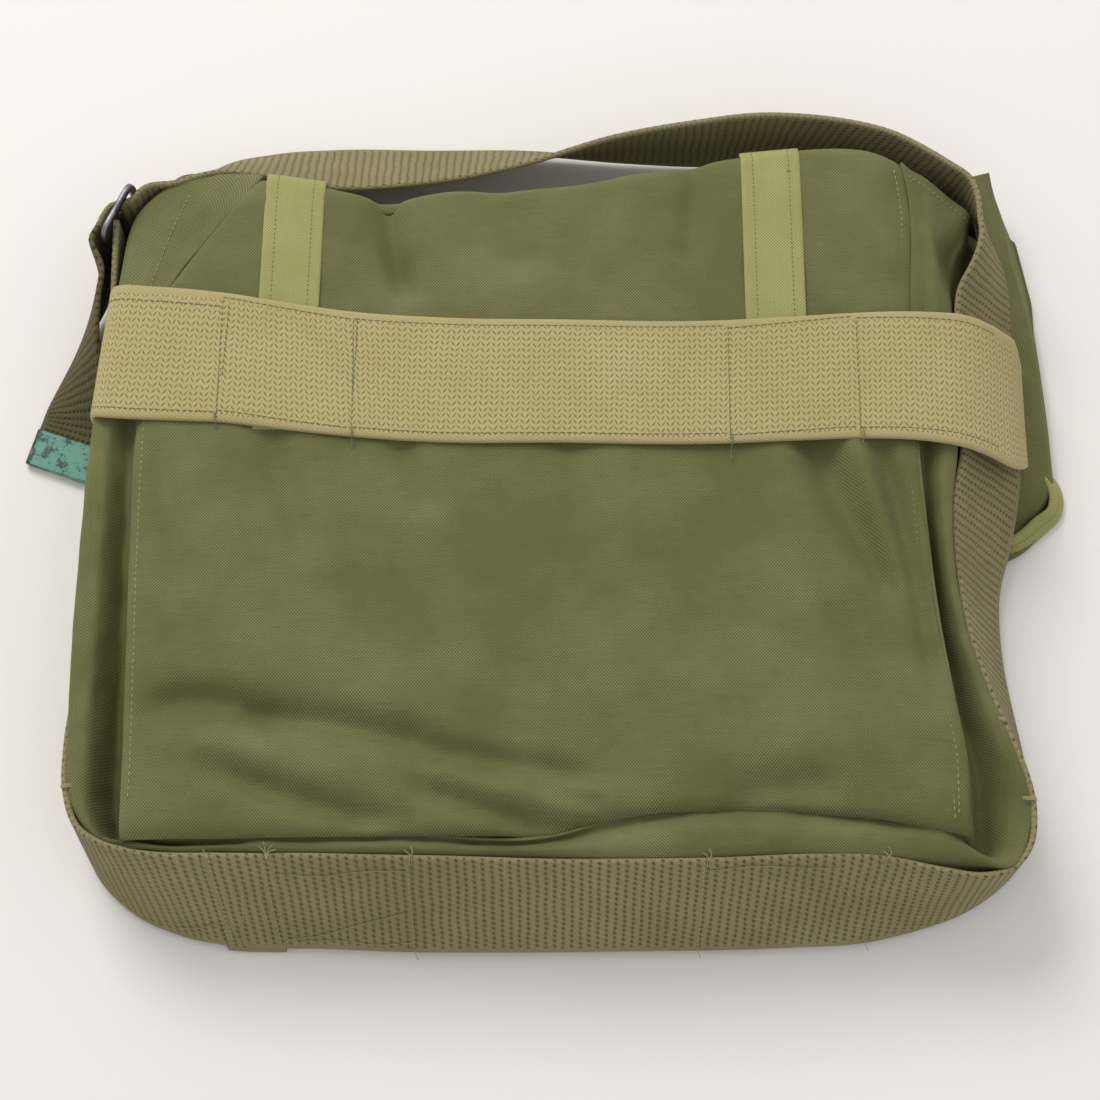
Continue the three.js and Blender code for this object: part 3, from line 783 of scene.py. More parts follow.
@dataclass
class BackPanel:
    """The panel that lies uppermost: slightly domed, dented along its lower edge and drawn in at the mouth."""

    left_y: Sequence[float] = (-144, -112, -75, -20, 20, 60, 88, 110, 141)
    left_x: Sequence[float] = (-161, -161.5, -162.5, -164.4, -164.8, -162, -155, -141, -119)
    right_y: Sequence[float] = (-144, -112, -90, -50, -10, 20, 85, 118, 150)
    right_x: Sequence[float] = (162.8, 163.6, 160, 155, 153, 151.8, 152.8, 155, 152.4)
    bottom_x: Sequence[float] = (-162, -111, -54, 5, 22, 45, 90, 130, 163)
    bottom_y: Sequence[float] = (-144.6, -144.2, -143.4, -143, -138, -134.4, -133.4, -137, -143)
    top_x: Sequence[float] = (-125, -119, -90, -67, -39, 7, 45, 84, 109, 126, 140, 152)
    top_y: Sequence[float] = (142.5, 140, 134.5, 128.5, 132.5, 135.5, 142, 150, 153.5, 154.5, 153, 148)
    face_z: float = 61.3
    thickness: float = 1.3
    hem: float = 4.0

    def top(self, x: np.ndarray) -> np.ndarray:
        """Give the mouth edge's y at each x."""
        return spline(np.array(self.top_x, float), np.array(self.top_y, float)[:, None], np.clip(x, -125, 152))[:, 0]

    def height(self, x: np.ndarray, y: np.ndarray) -> np.ndarray:
        """Give the outer face's height.

        Args:
            x: Across, in millimetres.
            y: Towards the mouth, in millimetres.

        Returns:
            The height in millimetres.
        """
        z = self.face_z + 1.6 * np.cos(np.clip(x / 190, -1, 1) * math.pi / 2) * np.cos(np.clip(y / 190, -1, 1) * math.pi / 2)
        # Long valleys where the slack canvas has settled above the lower edge, each with a swell on its lower side.
        z = z - 6.4 * crease(x, y, (-152, -92), (-104, -98), 6.5, 4)
        z = z - 7.6 * crease(x, y, (-116, -96), (-38, -110), 6.4, 3)
        z = z - 5.4 * crease(x, y, (-46, -110), (20, -122), 5.4)
        z = z - 6.4 * crease(x, y, (-128, -116), (-52, -139), 5.4, -3)
        z = z + 4.0 * crease(x, y, (-146, -108), (-64, -125), 8, 3)
        z = z + 2.6 * crease(x, y, (-24, -126), (30, -130), 6)
        z = z - 5.6 * crease(x, y, (-48, -124), (2, -138), 4.6, -2)
        z = z - 3.6 * crease(x, y, (-6, -124), (24, -133), 3.6)
        z = z - 4.0 * crease(x, y, (72, -130), (114, -124), 7, 2)
        z = z + 2.6 * crease(x, y, (52, -116), (134, -110), 12, 3)
        z = z + 2.2 * crease(x, y, (-120, -76), (-20, -90), 12, 3)
        # Diagonal drags below the belt band at the right and faint ones at the left.
        z = z - 7.5 * crease(x, y, (104, 34), (146, -60), 7.5, -3)
        z = z - 6.0 * crease(x, y, (134, 26), (153, -90), 5, 2)
        z = z + 4.0 * crease(x, y, (122, 28), (149, -66), 5.5)
        z = z + 2.4 * crease(x, y, (92, 22), (122, -62), 12)
        z = z - 4.0 * crease(x, y, (-112, 26), (-92, -34), 7)
        z = z - 3.6 * crease(x, y, (-156, 16), (-142, -44), 6)
        z = z + 2.0 * crease(x, y, (-134, 24), (-120, -34), 10)
        z = z - 3.4 * crease(x, y, (-60, 20), (-46, -14), 6)
        z = z - 1.8 * crease(x, y, (10, 20), (18, -12), 8)
        # The mouth edge is drawn in at one place, and the canvas falls away from it on both sides.
        z = z - 7.0 * crease(x, y, (-66, 138), (-56, 80), 5.5, -2)
        z = z + 1.4 * crease(x, y, (-76, 140), (-84, 90), 6)
        z = z - 4.0 * crease(x, y, (64, 152), (59, 96), 6.5, 2)
        z = z + 2.6 * crease(x, y, (40, 146), (28, 90), 12)
        z = z - 3.4 * crease(x, y, (-22, 140), (-6, 92), 11)
        z = z - 2.8 * crease(x, y, (120, 152), (130, 84), 9)
        z = z + 2.0 * crease(x, y, (141, 146), (143, 90), 6)
        # Low undulations everywhere.
        points = np.stack([x, y * 1.2, np.zeros_like(x)], axis=1)
        return z + 1.8 * cloudy(points, 55, 2) + 0.7 * cloudy(points, 20, 5)

    def place(self, u: np.ndarray, v: np.ndarray) -> np.ndarray:
        """Give the outer face's places.

        Args:
            u: Share from the left edge to the right edge.
            v: Share from the lower edge to the mouth.

        Returns:
            Rows of x, y, z.
        """
        y = -144 + 294 * v
        for _ in range(3):
            left = np.interp(y, self.left_y, self.left_x)
            right = np.interp(y, self.right_y, self.right_x)
            x = left + (right - left) * u
            bottom = np.interp(x, self.bottom_x, self.bottom_y)
            y = bottom + (self.top(x) - bottom) * v
        z = self.height(x, y)
        # The edges roll over: at the seams by a couple of millimetres, at the lower edge into a deeper crease.
        from_side = np.minimum(x - left, right - x)
        z = z - 2.6 * np.exp(-from_side / 1.6) - 1.2 * np.exp(-from_side / 7)
        z = z - 4.5 * np.exp(-(y - bottom) / 2.2) - 1.6 * np.exp(-(y - bottom) / 9)
        z = z - 4.0 * np.exp(-(self.top(x) - y) / 2.4) - 1.0 * np.exp(-(self.top(x) - y) / 10)
        z = z - 5 * np.exp(-(((x - 12) / 22) ** 2 + ((y + 140) / 4) ** 2))
        # The stitched hem beside each seam is a flat double layer: a shallow channel marks its inner side.
        z = z - 0.35 * bump_at(right - x, self.hem + 0.8, 0.7)
        return np.stack([x, y, z], axis=1)

    def make(self, finishes: Finishes) -> bpy.types.Object:
        """Build the panel.

        Args:
            finishes: Where its material comes from.

        Returns:
            The panel.
        """

        def measure(u: np.ndarray, v: np.ndarray) -> np.ndarray:
            return self.place(u, v)[:, :2]

        def worn(u: np.ndarray, v: np.ndarray) -> np.ndarray:
            edge = np.minimum(np.minimum(u, 1 - u) * 320, np.minimum(v, 1 - v) * 288)
            return 0.4 * np.exp(-edge / 1.5) - 0.2

        piece = cloth_grid(
            "back_panel_canvas", 230, 210, self.place, measure, finishes.get("duck"), worn, -self.thickness
        )
        return piece


@dataclass
class Gusset:
    """The canvas wall round the sides and the bottom, from the back panel's seam down to the front.

    Each station runs from the seam over a valley, a crest and a bulge, then tucks behind the strap and goes down to
    the front panel.
    """

    stations: Sequence[Sequence[tuple[float, float, float]]] = (
        ((-118, 141.5, 59), (-126, 144, 55), (-141, 145.6, 51.5), (-155, 144, 52), (-163, 138, 46), (-158, 134, 10), (-152, 132, 2)),
        ((-140.5, 110, 59.6), (-146, 114, 57.5), (-157, 119.5, 56.5), (-172, 124.6, 51), (-175.5, 125, 42), (-172, 125, 10), (-166, 122, 2)),
        ((-154.5, 88, 60), (-159, 90, 59), (-167, 93, 57.5), (-177, 95, 52), (-178.6, 96, 42), (-177, 97, 10), (-170, 97, 2)),
        ((-161.5, 55, 60), (-166, 55, 56), (-173, 55, 56.5), (-180.5, 56, 52), (-180.5, 56, 42), (-178, 56, 10), (-170, 56, 2)),
        ((-164.4, 20, 60), (-168.5, 20, 48), (-177, 20, 55), (-185, 20, 50.5), (-182.5, 20, 42), (-180, 20, 9), (-171, 20, 2)),
        ((-164, -20, 59.6), (-168.5, -20, 43), (-177, -20, 54.5), (-186, -20, 50), (-183.4, -20, 42), (-181, -20, 8), (-171, -20, 1.8)),
        ((-162.4, -70, 59), (-167.5, -70, 39), (-177, -72, 53.5), (-186, -73, 49.5), (-184, -73, 42), (-183, -73, 8), (-172, -75, 1.6)),
        ((-161.2, -107, 58.4), (-167, -107, 36), (-177, -106, 52.5), (-184.6, -106, 50), (-184.4, -106, 42), (-181, -108, 8), (-171, -108, 1.5)),
        ((-160.6, -128, 58), (-166.5, -130, 33), (-175.5, -129, 51.5), (-181.6, -129, 50.5), (-182.2, -129, 42), (-177, -130, 8), (-168, -125, 1.5)),
        ((-158, -140.5, 57), (-163, -142, 33), (-169, -142.2, 52.5), (-171.6, -142.2, 52), (-172.8, -144, 44), (-166, -144, 8), (-160, -142, 1.5)),
        ((-149, -143.4, 57), (-150, -144.8, 44), (-150, -146.6, 55.5), (-150, -147.6, 54), (-151, -149.6, 46), (-149, -157, 8), (-144, -154, 1.5)),
        ((-118, -143.6, 56), (-118, -144.8, 53.6), (-117, -146.8, 57), (-118, -148.4, 56), (-118, -151.4, 46), (-118, -165.5, 8), (-118, -157, 1.5)),
        ((-54, -142.9, 56), (-54, -144.0, 54), (-54, -147, 58), (-54, -149.3, 56.6), (-54, -153.6, 46), (-54, -167, 8), (-54, -159, 1.5)),
        ((7, -142.6, 55), (7, -143.8, 52.5), (7, -148, 58.6), (7, -150.8, 57), (7, -155.4, 46), (7, -167.5, 8), (7, -160, 1.5)),
        ((24, -137.6, 55.5), (24, -139.4, 54), (24, -146.4, 59.8), (24, -151, 57.4), (24, -155.8, 46), (24, -167.5, 8), (24, -160, 1.5)),
        ((45, -134, 56), (45, -135.6, 55.4), (45, -143, 60.6), (45, -150.6, 57.6), (45, -156, 46), (45, -167.5, 8), (45, -160, 1.5)),
        ((90, -133, 57), (90, -134.6, 56), (90, -142, 60.6), (90, -148.6, 57.4), (90, -155.4, 46), (90, -167, 8), (90, -160, 1.5)),
        ((130, -136, 57), (131, -137.8, 54.6), (132, -143, 59.2), (133, -148.8, 56.4), (133, -154.4, 46), (132, -163, 8), (131, -161, 1.5)),
        ((155, -140.6, 56.6), (160, -143.6, 52), (163, -148, 54.6), (164, -151.8, 53), (165, -153.6, 45), (160, -158, 8), (152, -152, 1.5)),
        ((162.6, -141, 57), (168, -146, 38), (175, -150, 49), (179.6, -153.6, 50), (178.4, -152.6, 42), (172, -150, 8), (162, -146, 1.5)),
        ((163, -128, 57.4), (170, -130, 35), (182, -133, 46.6), (188.6, -134.2, 48.8), (187.6, -134, 41), (182, -132, 8), (168, -132, 1.5)),
        ((163.6, -112, 58), (169.5, -112, 36), (179.6, -112.6, 48), (185.8, -112.8, 49.4), (186, -113, 42), (185, -113, 8), (171, -112, 1.5)),
        ((160.4, -90, 59), (165, -90, 37), (172.4, -90, 51), (177, -90, 51.6), (178, -90, 42), (183, -90, 8), (171, -88, 1.6)),
        ((155.6, -50, 59.8), (158, -50, 41), (162.4, -50, 56), (166, -50, 54), (167, -50, 42), (178, -50, 8), (170, -50, 1.8)),
        ((153.2, -10, 60), (155.4, -10, 47), (160.4, -10, 57.8), (164.6, -10, 55.2), (165.8, -10, 43), (182, -10, 9), (171, -10, 2)),
        ((151.9, 20, 60.4), (154.6, 20, 52), (162, 20, 58.4), (168.8, 20, 55), (169.6, 20, 43), (184, 20, 9), (171, 20, 3)),
        ((152, 60, 60.4), (157, 60, 58), (163, 60, 57.5), (168.6, 60, 54), (170.4, 60, 43), (185, 60, 9), (171, 60, 4.2)),
        ((152.5, 85, 60.4), (158, 85, 58.6), (164.5, 85.5, 58.4), (170.8, 86, 51), (172.6, 86, 43), (184, 88, 9), (171, 88, 4.2)),
        ((154.2, 110, 60), (160, 109, 58), (164, 108, 57.4), (171, 107.6, 45), (175, 107.6, 42), (182, 108, 9), (171, 106, 4.2)),
        ((154.6, 128, 59.4), (161, 126, 56.6), (166, 123, 54.6), (176.6, 119, 45), (180, 117.5, 42), (178, 116, 9), (168, 114, 4.2)),
        ((152.4, 147.4, 58.4), (157.6, 144.6, 55.8), (166, 140.4, 52.6), (181.4, 131.6, 45), (183.4, 129.4, 40), (176, 124, 10), (166, 122, 4.2)),
    )
    thickness: float = 1.3

    def __post_init__(self) -> None:
        """Measure the wall along its crest and down its section."""
        self.rows = np.array(self.stations, float)
        crest = self.rows[:, 2]
        self.knots = np.concatenate([[0.0], np.cumsum(np.linalg.norm(np.diff(crest, axis=0), axis=1))])
        self.levels = np.array([0.0, 8.0, 19.0, 28.0, 37.0, 70.0, 82.0])

    def place(self, u: np.ndarray, v: np.ndarray) -> np.ndarray:
        """Give places on the wall's outer face.

        Args:
            u: Share along the wall, from the mouth's left side round to its right side.
            v: Share from the back panel's seam to the front.

        Returns:
            Rows of x, y, z.
        """
        flat = self.rows.reshape(len(self.rows), -1)
        here = spline(self.knots, flat, u * self.knots[-1]).reshape(-1, len(self.levels), 3)
        t = v * self.levels[-1]
        slope = np.gradient(here, self.levels, axis=1)
        i = np.clip(np.searchsorted(self.levels, t) - 1, 0, len(self.levels) - 2)
        n = np.arange(len(t))
        h = (self.levels[i + 1] - self.levels[i])[:, None]
        s = ((t - self.levels[i]) / (self.levels[i + 1] - self.levels[i]))[:, None]
        s2, s3 = s * s, s * s * s
        point = (
            (2 * s3 - 3 * s2 + 1) * here[n, i]
            + (s3 - 2 * s2 + s) * h * slope[n, i]
            + (3 * s2 - 2 * s3) * here[n, i + 1]
            + (s3 - s2) * h * slope[n, i + 1]
        )
        free = smooth(0.0, 0.1, v) * (1 - smooth(0.28, 0.42, v))
        point[:, 2] += free * (1.3 * cloudy(point, 16, 3) + 0.6 * cloudy(point, 7, 8))
        point[:, 0] += free * 0.5 * cloudy(point, 12, 11)
        return point

    def make(self, finishes: Finishes) -> bpy.types.Object:
        """Build the wall.

        Args:
            finishes: Where its material comes from.

        Returns:
            The wall.
        """

        def measure(u: np.ndarray, v: np.ndarray) -> np.ndarray:
            return np.stack([u * self.knots[-1], v * self.levels[-1]], axis=1)

        return cloth_grid(
            "gusset_canvas", 460, 76, self.place, measure, finishes.get("duck"), thickness=self.thickness, flip=True
        )


@dataclass
class FrontPanel:
    """The panel underneath, which hangs a little slack between the gusset's edges."""

    sides_y: Sequence[float] = (-164, -140, -108, -50, 20, 90, 142)
    left_x: Sequence[float] = (-118, -162, -171, -171, -171, -170, -150)
    right_x: Sequence[float] = (118, 160, 171, 171, 171, 171, 160)
    bag_low: float = 1.7
    over_lid: float = 6.6
    thickness: float = 1.2

    def place(self, u: np.ndarray, v: np.ndarray) -> np.ndarray:
        """Give places on the panel's inner face.

        Args:
            u: Share from the left edge to the right edge.
            v: Share from the lower edge to the mouth.

        Returns:
            Rows of x, y, z.
        """
        y = -164 + 306 * v
        left, right = np.interp(y, self.sides_y, self.left_x), np.interp(y, self.sides_y, self.right_x)
        x = left + (right - left) * u
        inner = smooth(0, 9, np.minimum(x - left, right - x)) * smooth(0, 9, y + 164)
        edge = np.where(x > 0, 4.6, 3.0) * smooth(-84, -50, y) + 2.0 * (1 - smooth(-84, -50, y))
        flat = self.bag_low + (self.over_lid - self.bag_low) * smooth(-84, -56, y)
        z = edge + (flat - edge) * inner + 0.25 * cloudy(np.stack([x, y, x * 0], axis=1), 40, 6)
        return np.stack([x, y, z], axis=1)

    def make(self, finishes: Finishes) -> bpy.types.Object:
        """Build the panel.

        Args:
            finishes: Where its material comes from.

        Returns:
            The panel.
        """
        return cloth_grid(
            "front_panel_canvas", 120, 110, self.place, lambda u, v: self.place(u, v)[:, :2], finishes.get("duck"),
            thickness=self.thickness,
        )


# ---------------------------------------------------------------------------------------------------------------
# The lid
# ---------------------------------------------------------------------------------------------------------------


@dataclass
class Lid:
    """The lid, folded over the mouth and under the bag, with an ear at its right side and a tape loop on the ear."""

    panel: BackPanel
    left: Sequence[float] = (-119, -122, -138, -150, -157, -160, -160, -160)
    right: Sequence[float] = (151, 153, 166, 184, 199, 211, 216, 216)
    levels: Sequence[float] = (0.0, 4.0, 24.0, 48.0, 60.0, 72.0, 100.0, 222.0)
    hem_y: float = -15.0
    corner: float = 30.0
    thickness: float = 1.2

    def place(self, u: np.ndarray, v: np.ndarray) -> np.ndarray:
        """Give places on the lid's outer face.

        Args:
            u: Share from its left edge to its right edge.
            v: Share from inside the mouth over the crown to the front hem.

        Returns:
            Rows of x, y, z.
        """
        t = v * self.levels[-1]
        left, right = np.interp(t, self.levels, self.left), np.interp(t, self.levels, self.right)
        x = left + (right - left) * u
        top = self.panel.top(x) - 1.2 * smooth(140, 152, x)
        y_rows = [top - 5.0, top - 1.2, top + 0.5 * (146.5 - top), x * 0 + 147.6, x * 0 + 147.2, x * 0 + 138, x * 0 + 108]
        y_rows.append(x * 0 + self.hem_y)
        z_rows = [55.6, 56.4, 40.0, 15.0, 4.4, 2.2, 2.1, 2.1]
        grid_y = np.array(y_rows).T
        i = np.clip(np.searchsorted(self.levels, t) - 1, 0, len(self.levels) - 2)
        n = np.arange(len(t))
        levels = np.array(self.levels)
        share = (t - levels[i]) / (levels[i + 1] - levels[i])
        y = grid_y[n, i] * (1 - share) + grid_y[n, i + 1] * share
        z = np.interp(t, self.levels, z_rows)
        # The right lower corner is rounded, and the crown has soft upright folds.
        near = np.clip((self.hem_y + self.corner - y) / self.corner, 0, 1)
        shrink = self.corner * (1 - np.sqrt(1 - near * near))
        x = x - shrink * smooth(0.75, 1.0, u)
        crown = smooth(4, 22, t) * (1 - smooth(40, 62, t))
        y = y + crown * 1.6 * np.sin(x / 13 + 0.6) * np.cos(x / 31)
        return np.stack([x, y, z + 0.2 * (t > 80) * np.sin(x / 23) * np.sin(y / 29)], axis=1)

    def make(self, finishes: Finishes) -> bpy.types.Object:
        """Build the lid's canvas.

        Args:
            finishes: Where its material comes from.

        Returns:
            The canvas.
        """

        def measure(u: np.ndarray, v: np.ndarray) -> np.ndarray:
            return np.stack([self.place(u, v)[:, 0], v * self.levels[-1]], axis=1)

        return cloth_grid(
            "lid_canvas", 200, 130, self.place, measure, finishes.get("duck"), thickness=-self.thickness, flip=False
        )

    def ear(self, finishes: Finishes) -> bpy.types.Object:
        """Build the right ear: a stiff flap that stands out past the shoulder strap and folds under to the lid.

        Args:
            finishes: Where its material comes from.

        Returns:
            The ear.
        """
        rows = np.array(
            (
                ((181, 150.5, 38), (188, 155, 33), (196.9, 161, 26), (194, 158, 14), (190, 147, 3.6)),
                ((184, 146, 37), (192, 149, 31), (198.6, 151.5, 24), (200, 150, 13), (196, 147, 3.6)),
                ((187, 134, 32), (195, 137, 27), (202.0, 139.6, 21), (206, 139, 12), (206, 138, 3.6)),
                ((190, 118, 26), (198, 120, 22), (205.6, 121, 17.6), (210, 121, 11), (211, 121, 3.6)),
                ((192, 92, 21), (202, 92, 17), (212.2, 90.5, 13), (214.6, 91, 9), (215, 91, 3.6)),
                ((192, 58, 19), (204, 58, 15), (215.6, 58, 11), (217, 58, 8), (216, 58, 3.6)),
                ((192, 30, 18), (204, 30, 14), (217, 30, 9.4), (218, 30, 7), (216, 30, 3.6)),
                ((191, 17, 16), (204, 17, 12.6), (216.4, 17.6, 8.6), (217.6, 17.6, 6.6), (214, 17, 3.6)),
                ((190, 8, 12), (201, 7, 10), (211.6, 10.4, 7.6), (212.6, 9.4, 6), (210, 9, 3.6)),
                ((190, 0, 8), (197, 0, 7.4), (204.2, 3.6, 6.4), (205, 2.6, 5.2), (203, 2, 3.6)),
                ((190, -4, 6), (195, -5, 6), (200, -3.4, 5.8), (201, -4.4, 4.8), (199, -5, 3.6)),
            ),
            float,
        )
        knots = np.arange(len(rows), dtype=float)
        levels = np.array([0.0, 8.0, 20.0, 26.0, 34.0])

        def place(u: np.ndarray, v: np.ndarray) -> np.ndarray:
            here = spline(knots, rows.reshape(len(rows), -1), v * knots[-1]).reshape(-1, 5, 3)
            t = u * levels[-1]
            point = np.stack([[np.interp(t[k], levels, here[k, :, axis]) for axis in range(3)] for k in range(len(t))])
            point[:, 2] += 0.5 * cloudy(point, 18, 4) * smooth(0, 0.1, u)
            return point

        def measure(u: np.ndarray, v: np.ndarray) -> np.ndarray:
            return np.stack([u * levels[-1], v * 170], axis=1)

        # A pale line along the ear's rolled outer fold: partly rubbed wear on the fold, partly a painted highlight
        # where the fold faces the light.
        def worn(u: np.ndarray, v: np.ndarray) -> np.ndarray:
            return 0.5 * bump_at(u, 0.6, 0.04)

        return cloth_grid("lid_ear_canvas", 40, 110, place, measure, finishes.get("duck"), worn, thickness=self.thickness)

    def short_ear(self, finishes: Finishes) -> bpy.types.Object:
        """Build the left ear, a narrow strip that lies flat under the bag."""

        def place(u: np.ndarray, v: np.ndarray) -> np.ndarray:
            x, y = -160.4 - 10.4 * u, 146 - 130 * v
            return np.stack([x, y, 2.0 + 0.3 * np.sin(y / 21) * u], axis=1)

        return cloth_grid(
            "lid_short_ear_canvas", 8, 70, place, lambda u, v: place(u, v)[:, :2], finishes.get("duck"),
            thickness=self.thickness,
        )

    def loop(self) -> Webbing:
        """Lay out the tape loop on the right ear."""
        stations = (
            ((214, 28.4, 2.4), (210, 27, 9)),
            ((219.6, 24, 2.2), (213.6, 22, 10)),
            ((222.6, 16.6, 2.0), (215.6, 14.6, 10)),
            ((221.4, 8, 1.8), (214.6, 9.2, 9.6)),
            ((213, -1, 1.6), (208, 4.2, 9)),
            ((204.6, -7.4, 1.6), (201.4, -1.6, 8.6)),
            ((198, -9.8, 1.6), (197, -3.8, 8.2)),
            ((192, -9.4, 1.6), (192.4, -3.4, 7.6)),
        )
        return Webbing("ear_loop_tape", stations, "tape", 1.9, 1.2, 6, 0.1, 7)


# ---------------------------------------------------------------------------------------------------------------
# The straps
# ---------------------------------------------------------------------------------------------------------------

# Along the buckle's slide, and away from the bag.
ALONG = Vector((0.39, 0.92, 0.0)).normalized()
AWAY = Vector((-ALONG.y, ALONG.x, 0.0))


def beside_buckle(along: float, away: float, low: float = 5.0, high: float = 55.0) -> tuple[Sequence[float], Sequence[float]]:
    """Give a strap station that stands on edge beside the buckle's bar.

    Args:
        along: Distance along the strap from the bar, in millimetres.
        away: Distance out from the bag.
        low: Height of the lower edge.
        high: Height of the upper edge.

    Returns:
        The station's two edges.
    """
    p = BUCKLE_AT + ALONG * along + AWAY * away
    return (p.x, p.y, low), (p.x, p.y, high)


@dataclass
class Straps:
    """Every webbing strap and tape on the bag."""

    tape_width: float = 25.2
    long_strap: Webbing = field(init=False)
    belt: Webbing = field(init=False)
    tail: Webbing = field(init=False)
    lap: Webbing = field(init=False)

    def __post_init__(self) -> None:
        """Lay out the straps."""
        self.long_strap = Webbing(
            "shoulder_webbing",
            (
                ((-180.8, 122.4, 5), (-180.4, 122.4, 54)),
                ((-181.4, 98, 5), (-180.6, 98, 50)),
                ((-183, 70, 5), (-181.4, 70, 44)),
                ((-185.6, 35, 5), (-183.6, 35, 42)),
                ((-187.6, -20, 5), (-184.8, -20, 42)),
                ((-188.6, -70, 5), (-184.4, -70, 41)),
                ((-189, -104, 5), (-185.8, -104, 47)),
                ((-186, -126, 4.5), (-184.4, -123, 51)),
                ((-176.5, -150, 3.5), (-178.4, -138.4, 52)),
                ((-162, -163, 3), (-168.6, -144.6, 53.5)),
                ((-144, -171, 3), (-152, -148.6, 54.5)),
                ((-120, -175.6, 3.4), (-124, -149.9, 56)),
                ((-84, -176.6, 4), (-86, -149.9, 56.4)),
                ((-48, -178, 4.4), (-48, -150.8, 56.8)),
                ((7, -178, 4.6), (7, -152.4, 57.4)),
                ((60, -177.4, 4.4), (61, -152, 57)),
                ((100, -176, 4.2), (102, -150.2, 56.2)),
                ((125, -174.6, 4), (128, -150.2, 55)),
                ((150, -168.6, 4), (153, -154.6, 52.4)),
                ((166, -163, 4), (168.4, -156.6, 50.6)),
                ((179.5, -155, 3), (180.4, -153.6, 49.6)),
                ((190.5, -144.6, 2.2), (187.6, -145, 49.6)),
                ((196, -130, 2), (189.8, -130, 49.4)),
                ((197.6, -115.5, 2.4), (187.2, -115.5, 49.8)),
                ((196.4, -99.7, 3), (181.2, -99.7, 50.6)),
                ((193.6, -81, 3.6), (174.4, -81, 51.6)),
                ((190.4, -59.4, 5), (168.4, -59.4, 52.6)),
                ((190.4, -31.2, 7), (165, -31.2, 52.6)),
                ((197.4, -6, 10), (165.9, -3, 52.4)),
                ((201.6, 16, 13), (170.4, 16, 52.6)),
                ((202.4, 46, 14), (172.4, 46, 52.4)),
                ((203.2, 74, 13.4), (172, 74, 52.4)),
                ((204.6, 92, 12.4), (174.2, 91, 53.4)),
                ((204.8, 106, 12), (180.4, 102.6, 55.6)),
                ((202, 119, 12.6), (184, 113, 57)),
                ((196.4, 131.4, 12), (184, 122.6, 58)),
                ((187.6, 140.6, 10), (183.8, 132.6, 58)),
                ((176, 150, 7), (181.6, 141, 57.4)),
                ((163.6, 157.6, 5), (172.6, 149, 56.8)),
                ((152, 164.4, 3), (161.6, 157.6, 55.4)),
                ((138, 171, 2), (150.6, 164.6, 54.2)),
                ((118, 176.6, 1.6), (130, 171.4, 53)),
                ((94, 178.4, 1.5), (98, 175.4, 51.4)),
                ((66, 178.5, 1.6), (66, 171.6, 51)),
                ((34, 180.5, 2), (33, 166, 49)),
                ((-8, 184, 2.6), (-9, 153.6, 45)),
                ((-55, 184.4, 3), (-54, 148.4, 38)),
                ((-94, 184.6, 3), (-92, 145.2, 40)),
                ((-122, 182, 3.4), (-120, 147.6, 46)),
                ((-145, 175, 4), (-140, 145.8, 52)),
                ((-160, 158.4, 5), (-156.4, 140, 54)),
                beside_buckle(13.5, -4.4),
                beside_buckle(7.6, -2.6),
                beside_buckle(4.2, 1.4),
                beside_buckle(1.6, 4.2),
                beside_buckle(-3, 5.0),
                beside_buckle(-9.4, 4.7),
            ),
            "strap",
            thickness=2.4,
            step=2.2,
            across=9,
        )
        self.belt = Webbing(
            "belt_webbing",
            (
                ((-177.4, 34, 9), (-176.4, 86, 10)),
                ((-183, 33.4, 22), (-179, 88, 24)),
                ((-185.4, 32.8, 40), (-180.4, 89.4, 42)),
                ((-184.4, 32.0, 52), (-179.2, 89.8, 54)),
                ((-178.6, 28.6, 60), (-173.2, 88.0, 61)),
                ((-168, 26.6, 63), (-163, 86, 63.6)),
                ((-150, 25.4, 64), (-147, 84.4, 64.3)),
                ((-131, 24.4, 64.6), (-130, 82.2, 64.9)),
                ((-102, 20.6, 65.4), (-104, 77.4, 65.7)),
                ((-74.6, 17.6, 65.4), (-78, 73.4, 65.5)),
                ((-41, 15.2, 66), (-39, 70.6, 66)),
                ((7, 14.8, 66.2), (7, 69.6, 66)),
                ((74, 14.4, 66.4), (76, 69.2, 66.2)),
                ((100, 15.8, 66.2), (101, 70.8, 66.4)),
                ((127, 17.2, 65.4), (128.6, 73, 65.6)),
                ((156, 16.6, 63.6), (158, 74.2, 63.8)),
                ((170, 15.4, 60.6), (173, 74.2, 61.4)),
                ((181.4, 14.4, 53.6), (184.2, 73, 55.6)),
                ((190, 13.4, 46), (192.2, 72, 48)),
                ((195, 14, 40), (196.6, 72.4, 42)),
                ((199, 17, 32), (199.8, 72.6, 33)),
                ((202.2, 21, 23), (202.6, 71.6, 24)),
                ((204.2, 24.4, 16), (204.6, 70, 16)),
                ((203.6, 26.4, 9), (204, 69, 9)),
            ),
            "belt",
            thickness=2.4,
            across=12,
            ripple=0.35,
            seed=3,
        )
        self.tail = Webbing(
            "strap_tail_webbing",
            (
                beside_buckle(-9.6, 4.7),
                beside_buckle(-16, 4.4),
                ((-194, 105, 3), (-186, 103.5, 52)),
                ((-201, 90, 2.4), (-186.6, 91, 49)),
                ((-208.5, 72, 2.2), (-187.4, 76, 42)),
                ((-214.4, 58, 2.2), (-186.5, 60, 24)),
                ((-218.6, 47.4, 2.2), (-178, 33, 3.4)),
                ((-220.4, 42, 2.1), (-178.4, 27, 3.2)),
            ),
            "tail",
            thickness=2.3,
            step=2.2,
            across=9,
        )
